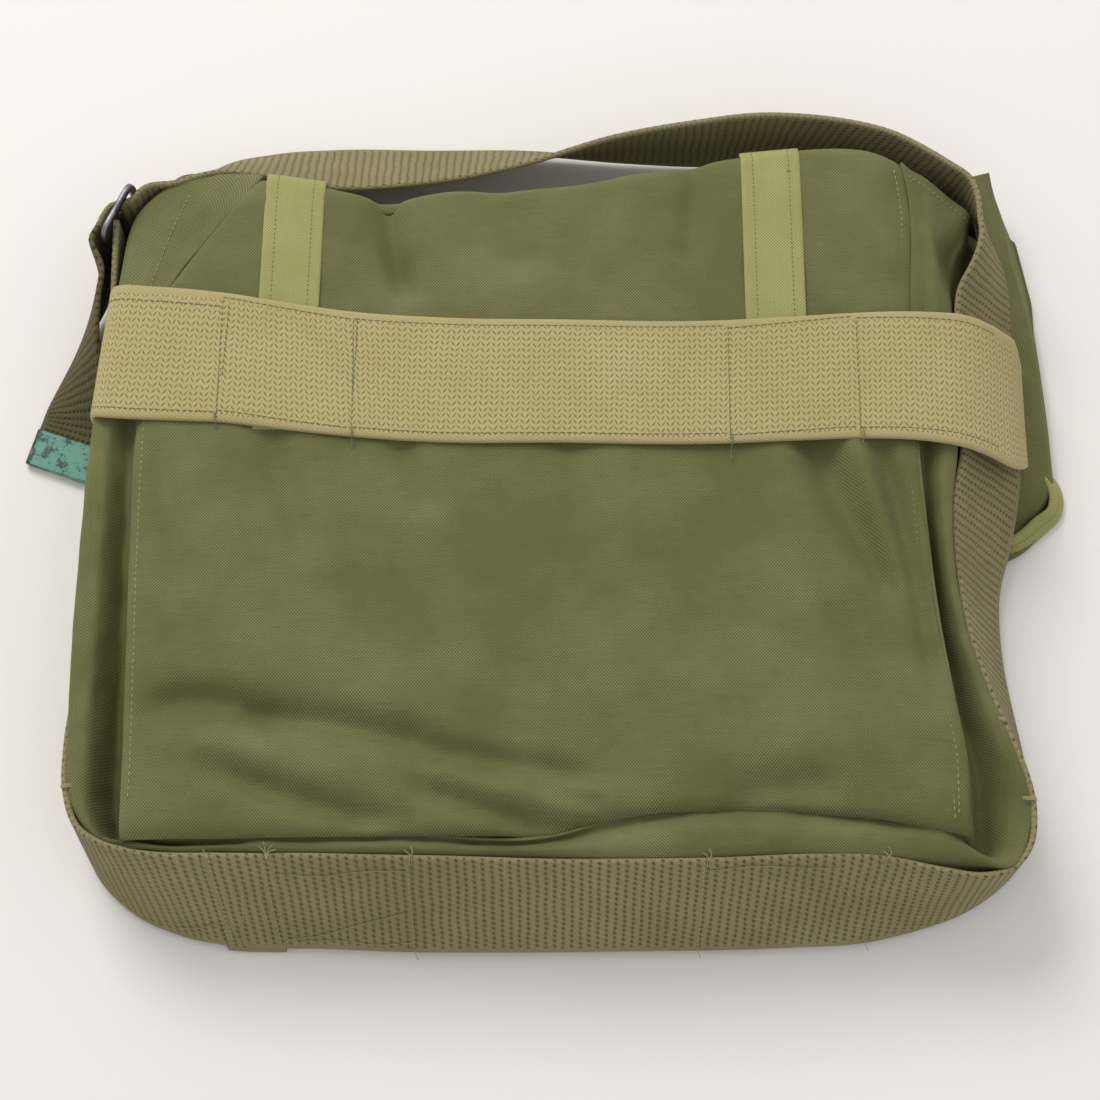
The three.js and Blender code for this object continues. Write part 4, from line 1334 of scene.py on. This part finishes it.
        self.lap = Webbing(
            "strap_lap_webbing",
            (
                ((-125, -176.8, 1.2), (-128.6, -150.6, 53)),
                ((-120, -177.2, 1.1), (-123.6, -150.2, 53.4)),
                ((-110, -177.5, 1.1), (-112.6, -150, 53.4)),
                ((-102, -177.6, 1.2), (-104.6, -149.8, 53.4)),
            ),
            "strap",
            thickness=1.6,
            step=1.5,
            across=9,
            ripple=0.1,
        )

    def closure(self, side: str, middle: float, lean: float, edge_y: float, tilt: float) -> Webbing:
        """Lay out a closure tape, from under the belt over the mouth's edge to the lid's hem.

        Args:
            side: Left or right.
            middle: The tape's middle.
            lean: How far it drifts to the side by the mouth.
            edge_y: Where it turns over the mouth's edge.
            tilt: How much further out its right edge turns over than its middle.

        Returns:
            The tape.
        """
        half = self.tape_width / 2

        def station(shift: float, y: float, z: float, turn: float = 0.0) -> tuple[Sequence[float], Sequence[float]]:
            return (middle + shift + half, y + turn, z), (middle + shift - half, y - turn, z)

        stations = (
            station(0, 22, 63.2),
            station(0, 50, 63.6),
            station(0, 78, 63.8),
            station(lean * 0.4, 100, 63.2),
            station(lean * 0.8, edge_y - 12, 62.4),
            station(lean, edge_y - 3.0, 61.0, tilt),
            station(lean, edge_y + 1.4, 57, tilt),
            station(lean, edge_y + 3.0, 48, tilt),
            station(lean * 0.6, (edge_y + 150) / 2 + 1.6, 28),
            station(lean * 0.3, 150, 11),
            station(0, 149.4, 6),
            station(0, 146.4, 2.5),
            station(0, 139, 1.1),
            station(0, 120, 1.0),
            station(0, 60, 1.0),
            station(0, -15, 1.0),
        )
        return Webbing(f"closure_tape_{side}", stations, "tape", 1.4, 2.0, 7, 0.12, 5)

    def tab(self, side: str, middle: float) -> Webbing:
        """Lay out the snap tab at the end of a closure tape.

        Args:
            side: Left or right.
            middle: The tape's middle.

        Returns:
            The tab.
        """
        half = self.tape_width / 2 - 0.4
        stations = [((middle + half, y, 2.6), (middle - half, y, 2.6)) for y in (-15.6, -24, -34)]
        stations.append(((middle + half - 1.5, -41, 2.6), (middle - half + 1.5, -41, 2.6)))
        stations.append(((middle + half - 6, -45.8, 2.6), (middle - half + 6, -45.8, 2.6)))
        return Webbing(f"snap_tab_tape_{side}", stations, "tape", 1.4, 1.5, 7, 0.05, 9)


@dataclass
class Buckle:
    """The slide buckle's frame: a flat steel ring with rounded corners, standing on edge."""

    length: float = 29.0
    height: float = 58.0
    rim: float = 3.4
    depth: float = 2.6
    corner: float = 6.0

    def make(self, finishes: Finishes) -> bpy.types.Object:
        """Build the frame.

        Args:
            finishes: Where its material comes from.

        Returns:
            The frame.
        """
        half_l, half_h = self.length / 2 - self.rim / 2, self.height / 2 - self.rim / 2
        turns = np.linspace(0, 2 * math.pi, 97)
        sharp = 0.24
        along = half_l * np.sign(np.cos(turns)) * np.abs(np.cos(turns)) ** sharp
        up = half_h * np.sign(np.sin(turns)) * np.abs(np.sin(turns)) ** sharp
        path = np.stack([along, up], axis=1)
        lengths = np.concatenate([[0.0], np.cumsum(np.linalg.norm(np.diff(path, axis=0), axis=1))])

        def place(u: np.ndarray, v: np.ndarray) -> np.ndarray:
            s = u * lengths[-1]
            a, b = np.interp(s, lengths, path[:, 0]), np.interp(s, lengths, path[:, 1])
            out = np.stack([a / half_l**2, b / half_h**2], axis=1) * (np.abs(np.stack([a / half_l, b / half_h], 1)) ** 4 + 0.02)
            out /= np.maximum(np.linalg.norm(out, axis=1), 1e-9)[:, None]
            turn = v * 2 * math.pi
            wide = self.rim / 2 * np.sign(np.cos(turn)) * np.abs(np.cos(turn)) ** 0.55
            deep = self.depth / 2 * np.sign(np.sin(turn)) * np.abs(np.sin(turn)) ** 0.55
            a, b = a + out[:, 0] * wide, b + out[:, 1] * wide
            middle = np.array(BUCKLE_AT)
            return middle + a[:, None] * np.array(ALONG) + deep[:, None] * np.array(AWAY) + b[:, None] * np.array((0, 0, 1.0))

        def rubbed(u: np.ndarray, v: np.ndarray) -> np.ndarray:
            return 0.5 * np.abs(np.cos(v * 2 * math.pi)) ** 6

        return cloth_grid(
            "buckle_frame_steel", 150, 16, place, lambda u, v: np.stack([u, v, u], axis=1)[:, :2], finishes.get("steel"),
            rubbed, loop=True,
        )


@dataclass
class Inside:
    """What the bag holds: two felt dividers."""

    low: float = -132.0
    high: float = 88.0
    floor: float = 8.2
    roof: float = 53.0
    thick: float = 4.6

    def divider(self, name: str, x: float, finishes: Finishes) -> bpy.types.Object:
        """Build a padded divider.

        Args:
            name: The piece's name.
            x: Its place across the bag.
            finishes: Where its material comes from.

        Returns:
            The divider.
        """
        half_h = (self.roof - self.floor) / 2

        def place(u: np.ndarray, v: np.ndarray) -> np.ndarray:
            turn = v * 2 * math.pi
            end = np.sqrt(np.clip(1 - (2 * u - 1) ** 16, 0, 1)) * 0.9 + 0.1
            thick = self.thick / 2 * np.sign(np.cos(turn)) * np.abs(np.cos(turn)) ** 0.7 * end
            up = half_h * np.sign(np.sin(turn)) * np.abs(np.sin(turn)) ** 0.25
            y = self.low + (self.high - self.low) * u
            wave = 0.7 * np.sin(y / 37 + x)
            return np.stack([x + thick + wave, y, self.floor + half_h + up], axis=1)

        def measure(u: np.ndarray, v: np.ndarray) -> np.ndarray:
            return np.stack([u * (self.high - self.low), v * 100], axis=1)

        return cloth_grid(name, 90, 36, place, measure, finishes.get("felt"), loop=True)


# ---------------------------------------------------------------------------------------------------------------
# Sewing
# ---------------------------------------------------------------------------------------------------------------


@dataclass
class Sewing:
    """Every row of stitches and loose thread on the bag."""

    finishes: Finishes
    straps: Straps
    panel: BackPanel

    def belt(self) -> bpy.types.Object:
        """Sew the belt in green: a row along each edge and upright rows between its lengths."""
        belt = self.straps.belt
        row = Stitching("belt_stitching", 2.7, 0.27)
        lift = belt.thickness / 2 + 0.06
        reach = belt.length

        def at_x(x: float, share: float) -> float:
            s = np.linspace(0, reach, 400)
            points = belt.at(s, np.full(400, share), np.zeros(400))
            return float(np.interp(x, points[:, 0][40:-40], s[40:-40]))

        joins = (-131.5, -77.0, 75.5, 128.0)
        seams = [(at_x(x, 0.1), at_x(x, 0.9)) for x in joins]
        top = [reach * 0.02, seams[0][1], seams[1][1], seams[2][1], seams[3][1], reach * 0.9]
        top_share = ((0.885, 0.88), (0.955, 0.93), (0.935, 0.945), (0.925, 0.965), (0.95, 0.93))
        for start, end, share in zip(top, top[1:], top_share):
            row.row(along_strap(belt, start, end, share, lift), 0.93)
        low = [reach * 0.02, seams[0][0], seams[1][0], seams[2][0], seams[3][0], reach * 0.9]
        low_share = ((0.075, 0.07), (0.085, 0.06), (0.07, 0.075), (0.06, 0.085), (0.08, 0.09))
        for start, end, share in zip(low, low[1:], low_share):
            row.row(along_strap(belt, start, end, share, lift), 0.93)
        for k, (bottom, upper) in enumerate(seams):
            lean = upper - bottom
            row.row(across_strap(belt, bottom, 0.02, 0.95, lift, lean))
            if k in (0, 1):
                row.row(across_strap(belt, bottom + 1.2, 0.35, 0.93, lift + 0.05, lean + 2.4))
            end = belt.at(np.array([bottom - 0.6 + k * 0.5]), np.array([0.0]), np.array([0.6]))[0]
            row.strand((end + (0, 4, 1.4), end + (0.3, 0, 1.6), end + (0.6 - k * 0.4, -3.5, -1.0), end + (1.4 - k * 0.6, -6.5, -2.0)), 0.26)
        return row.make(self.finishes.get("green_thread"))

    def strap(self) -> bpy.types.Object:
        """Sew the strap to the bottom and corners in undyed thread, with its loose ends."""
        strap = self.straps.long_strap
        row = Stitching("strap_stitching", 2.6, 0.3)
        lift = strap.thickness / 2 + 0.12
        s = np.linspace(0, strap.length * 0.55, 900)
        middle = strap.at(s, np.full(900, 0.5), np.zeros(900))
        bottom = np.where(middle[:, 1] < -140)[0]

        def at_x(x: float) -> float:
            return float(np.interp(x, middle[bottom, 0], s[bottom]))

        for x, top in ((-50.5, 0.97), (62.0, 1.0), (129.5, 0.97)):
            row.row(across_strap(strap, at_x(x), 0.02, top, lift, -1.0))
            end = strap.at(np.array([at_x(x)]), np.array([1.0]), np.array([1.0]))[0]
            row.strand((end + (0, -2, -3), end + (0.4, 0, 1.0), end + (1.6, 1.6, 2.2), end + (0.6, 4.0, 2.6)), 0.16)
            row.strand((end + (1, -2, -3), end + (0.8, 0.4, 1.0), end + (-1.6, 2.6, 2.0)), 0.16)
            foot = strap.at(np.array([at_x(x)]), np.array([0.0]), np.array([1.2]))[0]
            row.strand((foot + (0, 0, 4), foot + (0.4, -0.8, 1.4), foot + (1.2, -2.4, -1.0)), 0.16)
        # The strap's own end is caught behind it between two doubled rows, whose threads have frayed.
        for x in (-126.4, -124.2, -104.6, -102.2):
            row.row(across_strap(strap, at_x(x), 0.03, 0.985, lift, -1.0))
        row.row(across_strap(strap, at_x(-118), 0.3, 0.72, lift, 8.0))
        row.row(across_strap(strap, at_x(-108), 0.3, 0.66, lift, -6.0))
        frayed = strap.at(np.array([at_x(-103.4)]), np.array([1.0]), np.array([0.6]))[0]
        for dx, dy in ((2.6, 3.4), (-1.0, 4.6), (3.8, 1.6), (-2.6, 2.6)):
            row.strand((frayed + (0, -2, 0), frayed + (0.3 * dx, 0.4 * dy, 1.6), frayed + (dx, dy, 2.0)), 0.18)
        frayed = strap.at(np.array([at_x(-125.4)]), np.array([1.0]), np.array([0.6]))[0]
        for dx, dy in ((2.0, -3.4), (-1.2, 1.6)):
            row.strand((frayed + (0, 0, 0.6), frayed + (0.5 * dx, 0.5 * dy, 2.2), frayed + (dx, dy, 1.0)), 0.18)

        # Long slack threads lie across the bottom length.
        def laid(places: Sequence[tuple[float, float]]) -> list[np.ndarray]:
            return [strap.at(np.array([at_x(x)]), np.array([w]), np.array([lift + 0.3]))[0] for x, w in places]

        row.strand(laid(((-101, 0.12), (-88, 0.17), (-72, 0.3), (-53, 0.44))), 0.17)
        row.strand(laid(((-100, 0.82), (-84, 0.8), (-68, 0.86), (-51, 0.87))), 0.17)
        row.strand(laid(((-97, 0.1), (-80, 0.12), (-66, 0.09), (-50, 0.13))), 0.15)
        row.strand(laid(((-146, 0.14), (-138, 0.18), (-129, 0.27))), 0.15)
        row.strand(laid(((63, 0.9), (80, 0.93), (96, 0.9), (112, 0.88))), 0.17)
        # Short bars of heavy thread hold the strap at both lower corners and halfway up the right side.
        for target in ((-183.5, -122.5, 52.0), (189.4, -127, 50.6), (180, -96, 51.4)):
            near = strap.at(s, np.full(900, 1.0), np.zeros(900))
            k = int(np.argmin(np.linalg.norm(near - np.array(target), axis=1)))
            at = near[k]
            inward = np.array((-math.copysign(1, at[0]), 0.1, 0.0))
            for shift in (-0.5, 0.0, 0.5):
                side = np.array((0.0, shift, 0.0))
                row.strand((at - inward * 1.4 + side + (0, 0, 0.3), at + (0, 0, 1.5) + side, at + inward * 4 + side + (0, 0, 0.9)), 0.2)
        return row.make(self.finishes.get("pale_thread"))

    def canvas(self) -> bpy.types.Object:
        """Sew the canvas seams and hems in olive."""
        row = Stitching("canvas_stitching", 2.8, 0.27)
        panel = self.panel

        def on_panel(points: Sequence[tuple[float, float]], lift: float = 0.15) -> np.ndarray:
            knots = np.arange(len(points), dtype=float)
            line = spline(knots, np.array(points, float), np.linspace(0, knots[-1], 120))
            z = panel.height(line[:, 0], line[:, 1]) + lift
            return np.stack([line[:, 0], line[:, 1], z], axis=1)

        # Down the right seam runs one clean row; a second, older one wanders beside it below the belt.
        ys = (142, 120, 85, 50, 20, -10, -50, -90, -112, -138)
        right = [(float(np.interp(y, panel.right_y, panel.right_x)) - 4.6, float(y)) for y in ys]
        row.row(on_panel(right))
        older = [(x - 2.2 - 0.8 * math.sin(y / 19), y) for x, y in right[4:]]
        row.row(on_panel(older))
        left_ys = (60, 20, -20, -75, -112, -132)
        left = [(float(np.interp(y, panel.left_y, panel.left_x)) + 3.4, float(y)) for y in left_ys]
        row.row(on_panel(left, 0.1))
        return row.make(self.finishes.get("dark_thread"))

    def gusset(self, wall: "Gusset") -> bpy.types.Object:
        """Sew the hems of the gusset's two free ends.

        Args:
            wall: The gusset.

        Returns:
            The stitches.
        """
        row = Stitching("gusset_stitching", 2.6, 0.3)
        total = wall.knots[-1]

        def line(start: tuple[float, float], end: tuple[float, float]) -> np.ndarray:
            u = np.linspace(start[0] / total, end[0] / total, 60)
            v = np.linspace(start[1] / wall.levels[-1], end[1] / wall.levels[-1], 60)
            return wall.place(u, v) + np.array((0, 0, 0.2))

        row.row(line((14, 20), (66, 12)))
        row.row(line((total - 5, 2), (total - 5, 34)))
        return row.make(self.finishes.get("dark_thread"))

    def tape(self, tape: Webbing) -> bpy.types.Object:
        """Sew two rows along a closure tape.

        Args:
            tape: The tape.

        Returns:
            The stitches.
        """
        row = Stitching(tape.name.replace("tape", "stitching"), 2.2, 0.24)
        lift = tape.thickness / 2 + 0.1
        for share in (0.2, 0.8):
            row.row(along_strap(tape, 4, tape.length - 3, share, lift))
        return row.make(self.finishes.get("tape_thread"))


# ---------------------------------------------------------------------------------------------------------------
# Stage
# ---------------------------------------------------------------------------------------------------------------


@dataclass
class Studio:
    """A pale floor, soft lamps and the camera."""

    lens: float = 72.0
    distance: float = 0.9
    elevation: float = math.radians(70)
    target: Vector = field(default_factory=lambda: Vector((0.0032, -0.02165, 0.035)))

    def floor(self) -> None:
        """Lay the floor."""
        bm = bmesh.new()
        bmesh.ops.create_grid(bm, x_segments=1, y_segments=1, size=4.0)
        finish = bpy.data.materials.new("pale_floor")
        finish.use_nodes = True
        shader = finish.node_tree.nodes["Principled BSDF"]
        shader.inputs["Base Color"].default_value = to_linear("#f3f1ed")
        shader.inputs["Roughness"].default_value = 0.9
        shader.inputs["Specular IOR Level"].default_value = 0.2
        new_object("floor", bm, finish, shade=False)

    def room(self) -> None:
        """Set the soft light that comes from everywhere."""
        world = bpy.data.worlds.new("soft_room")
        bpy.context.scene.world = world
        world.use_nodes = True
        background = world.node_tree.nodes["Background"]
        background.inputs["Color"].default_value = to_linear("#fbfaf8")
        background.inputs["Strength"].default_value = 0.62

    def lamp(self, name: str, spot: Sequence[float], size: float, energy: float, color: str) -> None:
        """Hang one square lamp that shines at the bag.

        Args:
            name: The lamp's name.
            spot: Where it hangs, in metres.
            size: Its side, in metres.
            energy: Its power, in watts.
            color: Its colour.
        """
        light = bpy.data.lights.new(name, "AREA")
        light.size, light.energy, light.color = size, energy, to_linear(color)[:3]
        holder = bpy.data.objects.new(name, light)
        holder.location = spot
        holder.rotation_euler = (-Vector(spot)).to_track_quat("-Z", "Y").to_euler()
        bpy.context.scene.collection.objects.link(holder)

    def camera(self) -> None:
        """Set the camera."""
        camera = bpy.data.cameras.new("camera")
        camera.lens, camera.sensor_width = self.lens, 36
        holder = bpy.data.objects.new("camera", camera)
        back = Vector((0, -math.cos(self.elevation), math.sin(self.elevation)))
        holder.location = self.target + back * self.distance
        holder.rotation_euler = (-back).to_track_quat("-Z", "Y").to_euler()
        bpy.context.scene.collection.objects.link(holder)
        bpy.context.scene.camera = holder

    def build(self) -> None:
        """Set up the whole stage."""
        bpy.context.scene.view_settings.view_transform = "Standard"
        self.floor()
        self.room()
        self.lamp("key_lamp", (-1.0, 1.7, 2.1), 1.4, 45.0, "#fffcf9")
        self.lamp("fill_lamp", (0.9, -0.9, 1.6), 1.6, 3.0, "#f4f7ff")
        self.camera()


def settle(piece: bpy.types.Object, body: str, slot: str, *nodes: str) -> bpy.types.Object:
    """Tie a piece to its body and hide the plain solids that it stands for.

    Args:
        piece: The piece.
        body: The body it moves with.
        slot: Not used.
        nodes: The solids it replaces.

    Returns:
        The same piece.
    """
    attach(piece, body)
    if nodes:
        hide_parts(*nodes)
    return piece


def over_hinge(piece: bpy.types.Object, slot: str, *nodes: str) -> bpy.types.Object:
    """Bake the placement of a cloth that runs from the bag over the mouth's edge to the lid into its mesh, and hide the
    solids that it replaces.

    Args:
        piece: The cloth.
        slot: Not used.
        nodes: The solids it replaces.

    Returns:
        The same piece.
    """
    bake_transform(piece)
    if nodes:
        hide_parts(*nodes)
    return piece


def build_canvas(finishes: Finishes, panel: BackPanel, wall: Gusset) -> None:
    """Build the bag's canvas body.

    Args:
        finishes: Where the materials come from.
        panel: The back panel.
        wall: The gusset.
    """
    settle(panel.make(finishes), "bag", "canvas", "back_panel")
    settle(wall.make(finishes), "bag", "canvas", "gusset")
    settle(FrontPanel().make(finishes), "bag", "canvas", "front_panel")
    inside = Inside()
    for side, x in (("left", -52.0), ("right", 52.0)):
        felt = settle(inside.divider(f"divider_felt_{side}", x, finishes), "bag", "felt", f"divider_{side}")


def build_lid(finishes: Finishes, panel: BackPanel, straps: Straps, sewing: Sewing) -> None:
    """Build the lid with its ears, tapes and tabs.

    Args:
        finishes: Where the materials come from.
        panel: The back panel, whose mouth edge the lid follows.
        straps: The strap plans.
        sewing: The stitches.
    """
    lid = Lid(panel)
    canvas = over_hinge(lid.make(finishes), "canvas", "lid_crown", "lid_front")
    ear = settle(lid.ear(finishes), "lid", "canvas", "lid_ear_right")
    short = settle(lid.short_ear(finishes), "lid", "canvas", "lid_ear_left")
    settle(lid.loop().make(finishes), "lid", "closure_web", "ear_loop")
    for side, middle, lean, edge, tilt in (("left", -104.6, 0.6, 138.6, -1.9), ("right", 96.0, 0.2, 151.6, 1.3)):
        plan = straps.closure(side, middle, lean, edge, tilt)
        nodes = (f"closure_rear_{side}", f"closure_crown_{side}", f"closure_front_{side}")
        over_hinge(plan.make(finishes, 0.5), "closure_web", *nodes)
        over_hinge(sewing.tape(plan), "closure_web")
        tab = straps.tab(side, middle)
        settle(tab.make(finishes, 0.5), f"tab_{side}", "closure_web", f"closure_tab_{side}")


def build_straps(finishes: Finishes, straps: Straps) -> None:
    """Build the belt, the shoulder strap and its hardware.

    Args:
        finishes: Where the materials come from.
        straps: The strap plans.
    """
    settle(straps.belt.make(finishes, 0.5), "bag", "belt_web", "belt_band")
    strap = straps.long_strap.make(finishes, 0.5)
    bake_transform(strap)
    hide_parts("strap_cradle", "strap_loop", "buckle_chape")
    settle(straps.lap.make(finishes, 0.5), "bag", "strap_web", "strap_lap")
    settle(straps.tail.make(finishes, 0.5), "strap_end", "strap_web", "strap_tail")
    tip = Webbing(
        "tail_tip_brass",
        (
            ((-218.9, 47.6, 2.5), (-176.2, 32.4, 3.4)),
            ((-219.6, 45.0, 2.4), (-176.8, 29.8, 3.3)),
            ((-221.6, 38.0, 2.3), (-178.6, 22.8, 3.1)),
            ((-222.8, 33.8, 2.2), (-179.8, 18.6, 3.0)),
            ((-223.2, 32.4, 2.1), (-180.3, 17.2, 2.9)),
        ),
        "tip",
        thickness=4.0,
        step=0.5,
        across=26,
        ripple=0.12,
    )
    settle(tip.make(finishes, 0.9), "strap_end", "tip_brass", "tail_tip")
    settle(Buckle().make(finishes), "shoulder_strap", "buckle_steel", "buckle_frame")


def dress_hardware(finishes: Finishes) -> None:
    """Give the small hard pieces their finishes.

    Args:
        finishes: Where the materials come from.
    """
    kept = {"buckle_bar": "steel", "bottom_stiffener": "board"}
    for side in ("left", "right"):
        kept.update({f"{name}_{side}": "snap" for name in ("snap_cap", "snap_stud", "stud_washer")})
    for node, finish in kept.items():
        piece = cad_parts[node]
        piece.data.materials.clear()
        piece.data.materials.append(finishes.get(finish))
        LOG.info("dressed %s in %s", node, finish)


def main() -> None:
    """Build the bag, piece by piece."""
    logging.basicConfig(level=logging.INFO, format="%(name)s: %(message)s")
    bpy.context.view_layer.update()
    Studio().build()
    finishes, panel, wall, straps = Finishes(), BackPanel(), Gusset(), Straps()
    sewing = Sewing(finishes, straps, panel)
    build_canvas(finishes, panel, wall)
    build_straps(finishes, straps)
    build_lid(finishes, panel, straps, sewing)
    dress_hardware(finishes)
    settle(sewing.belt(), "bag", "belt_web")
    settle(sewing.strap(), "bag", "strap_web")
    settle(sewing.canvas(), "bag", "canvas")
    settle(sewing.gusset(wall), "bag", "canvas")


if __name__ == "__main__":
    main()
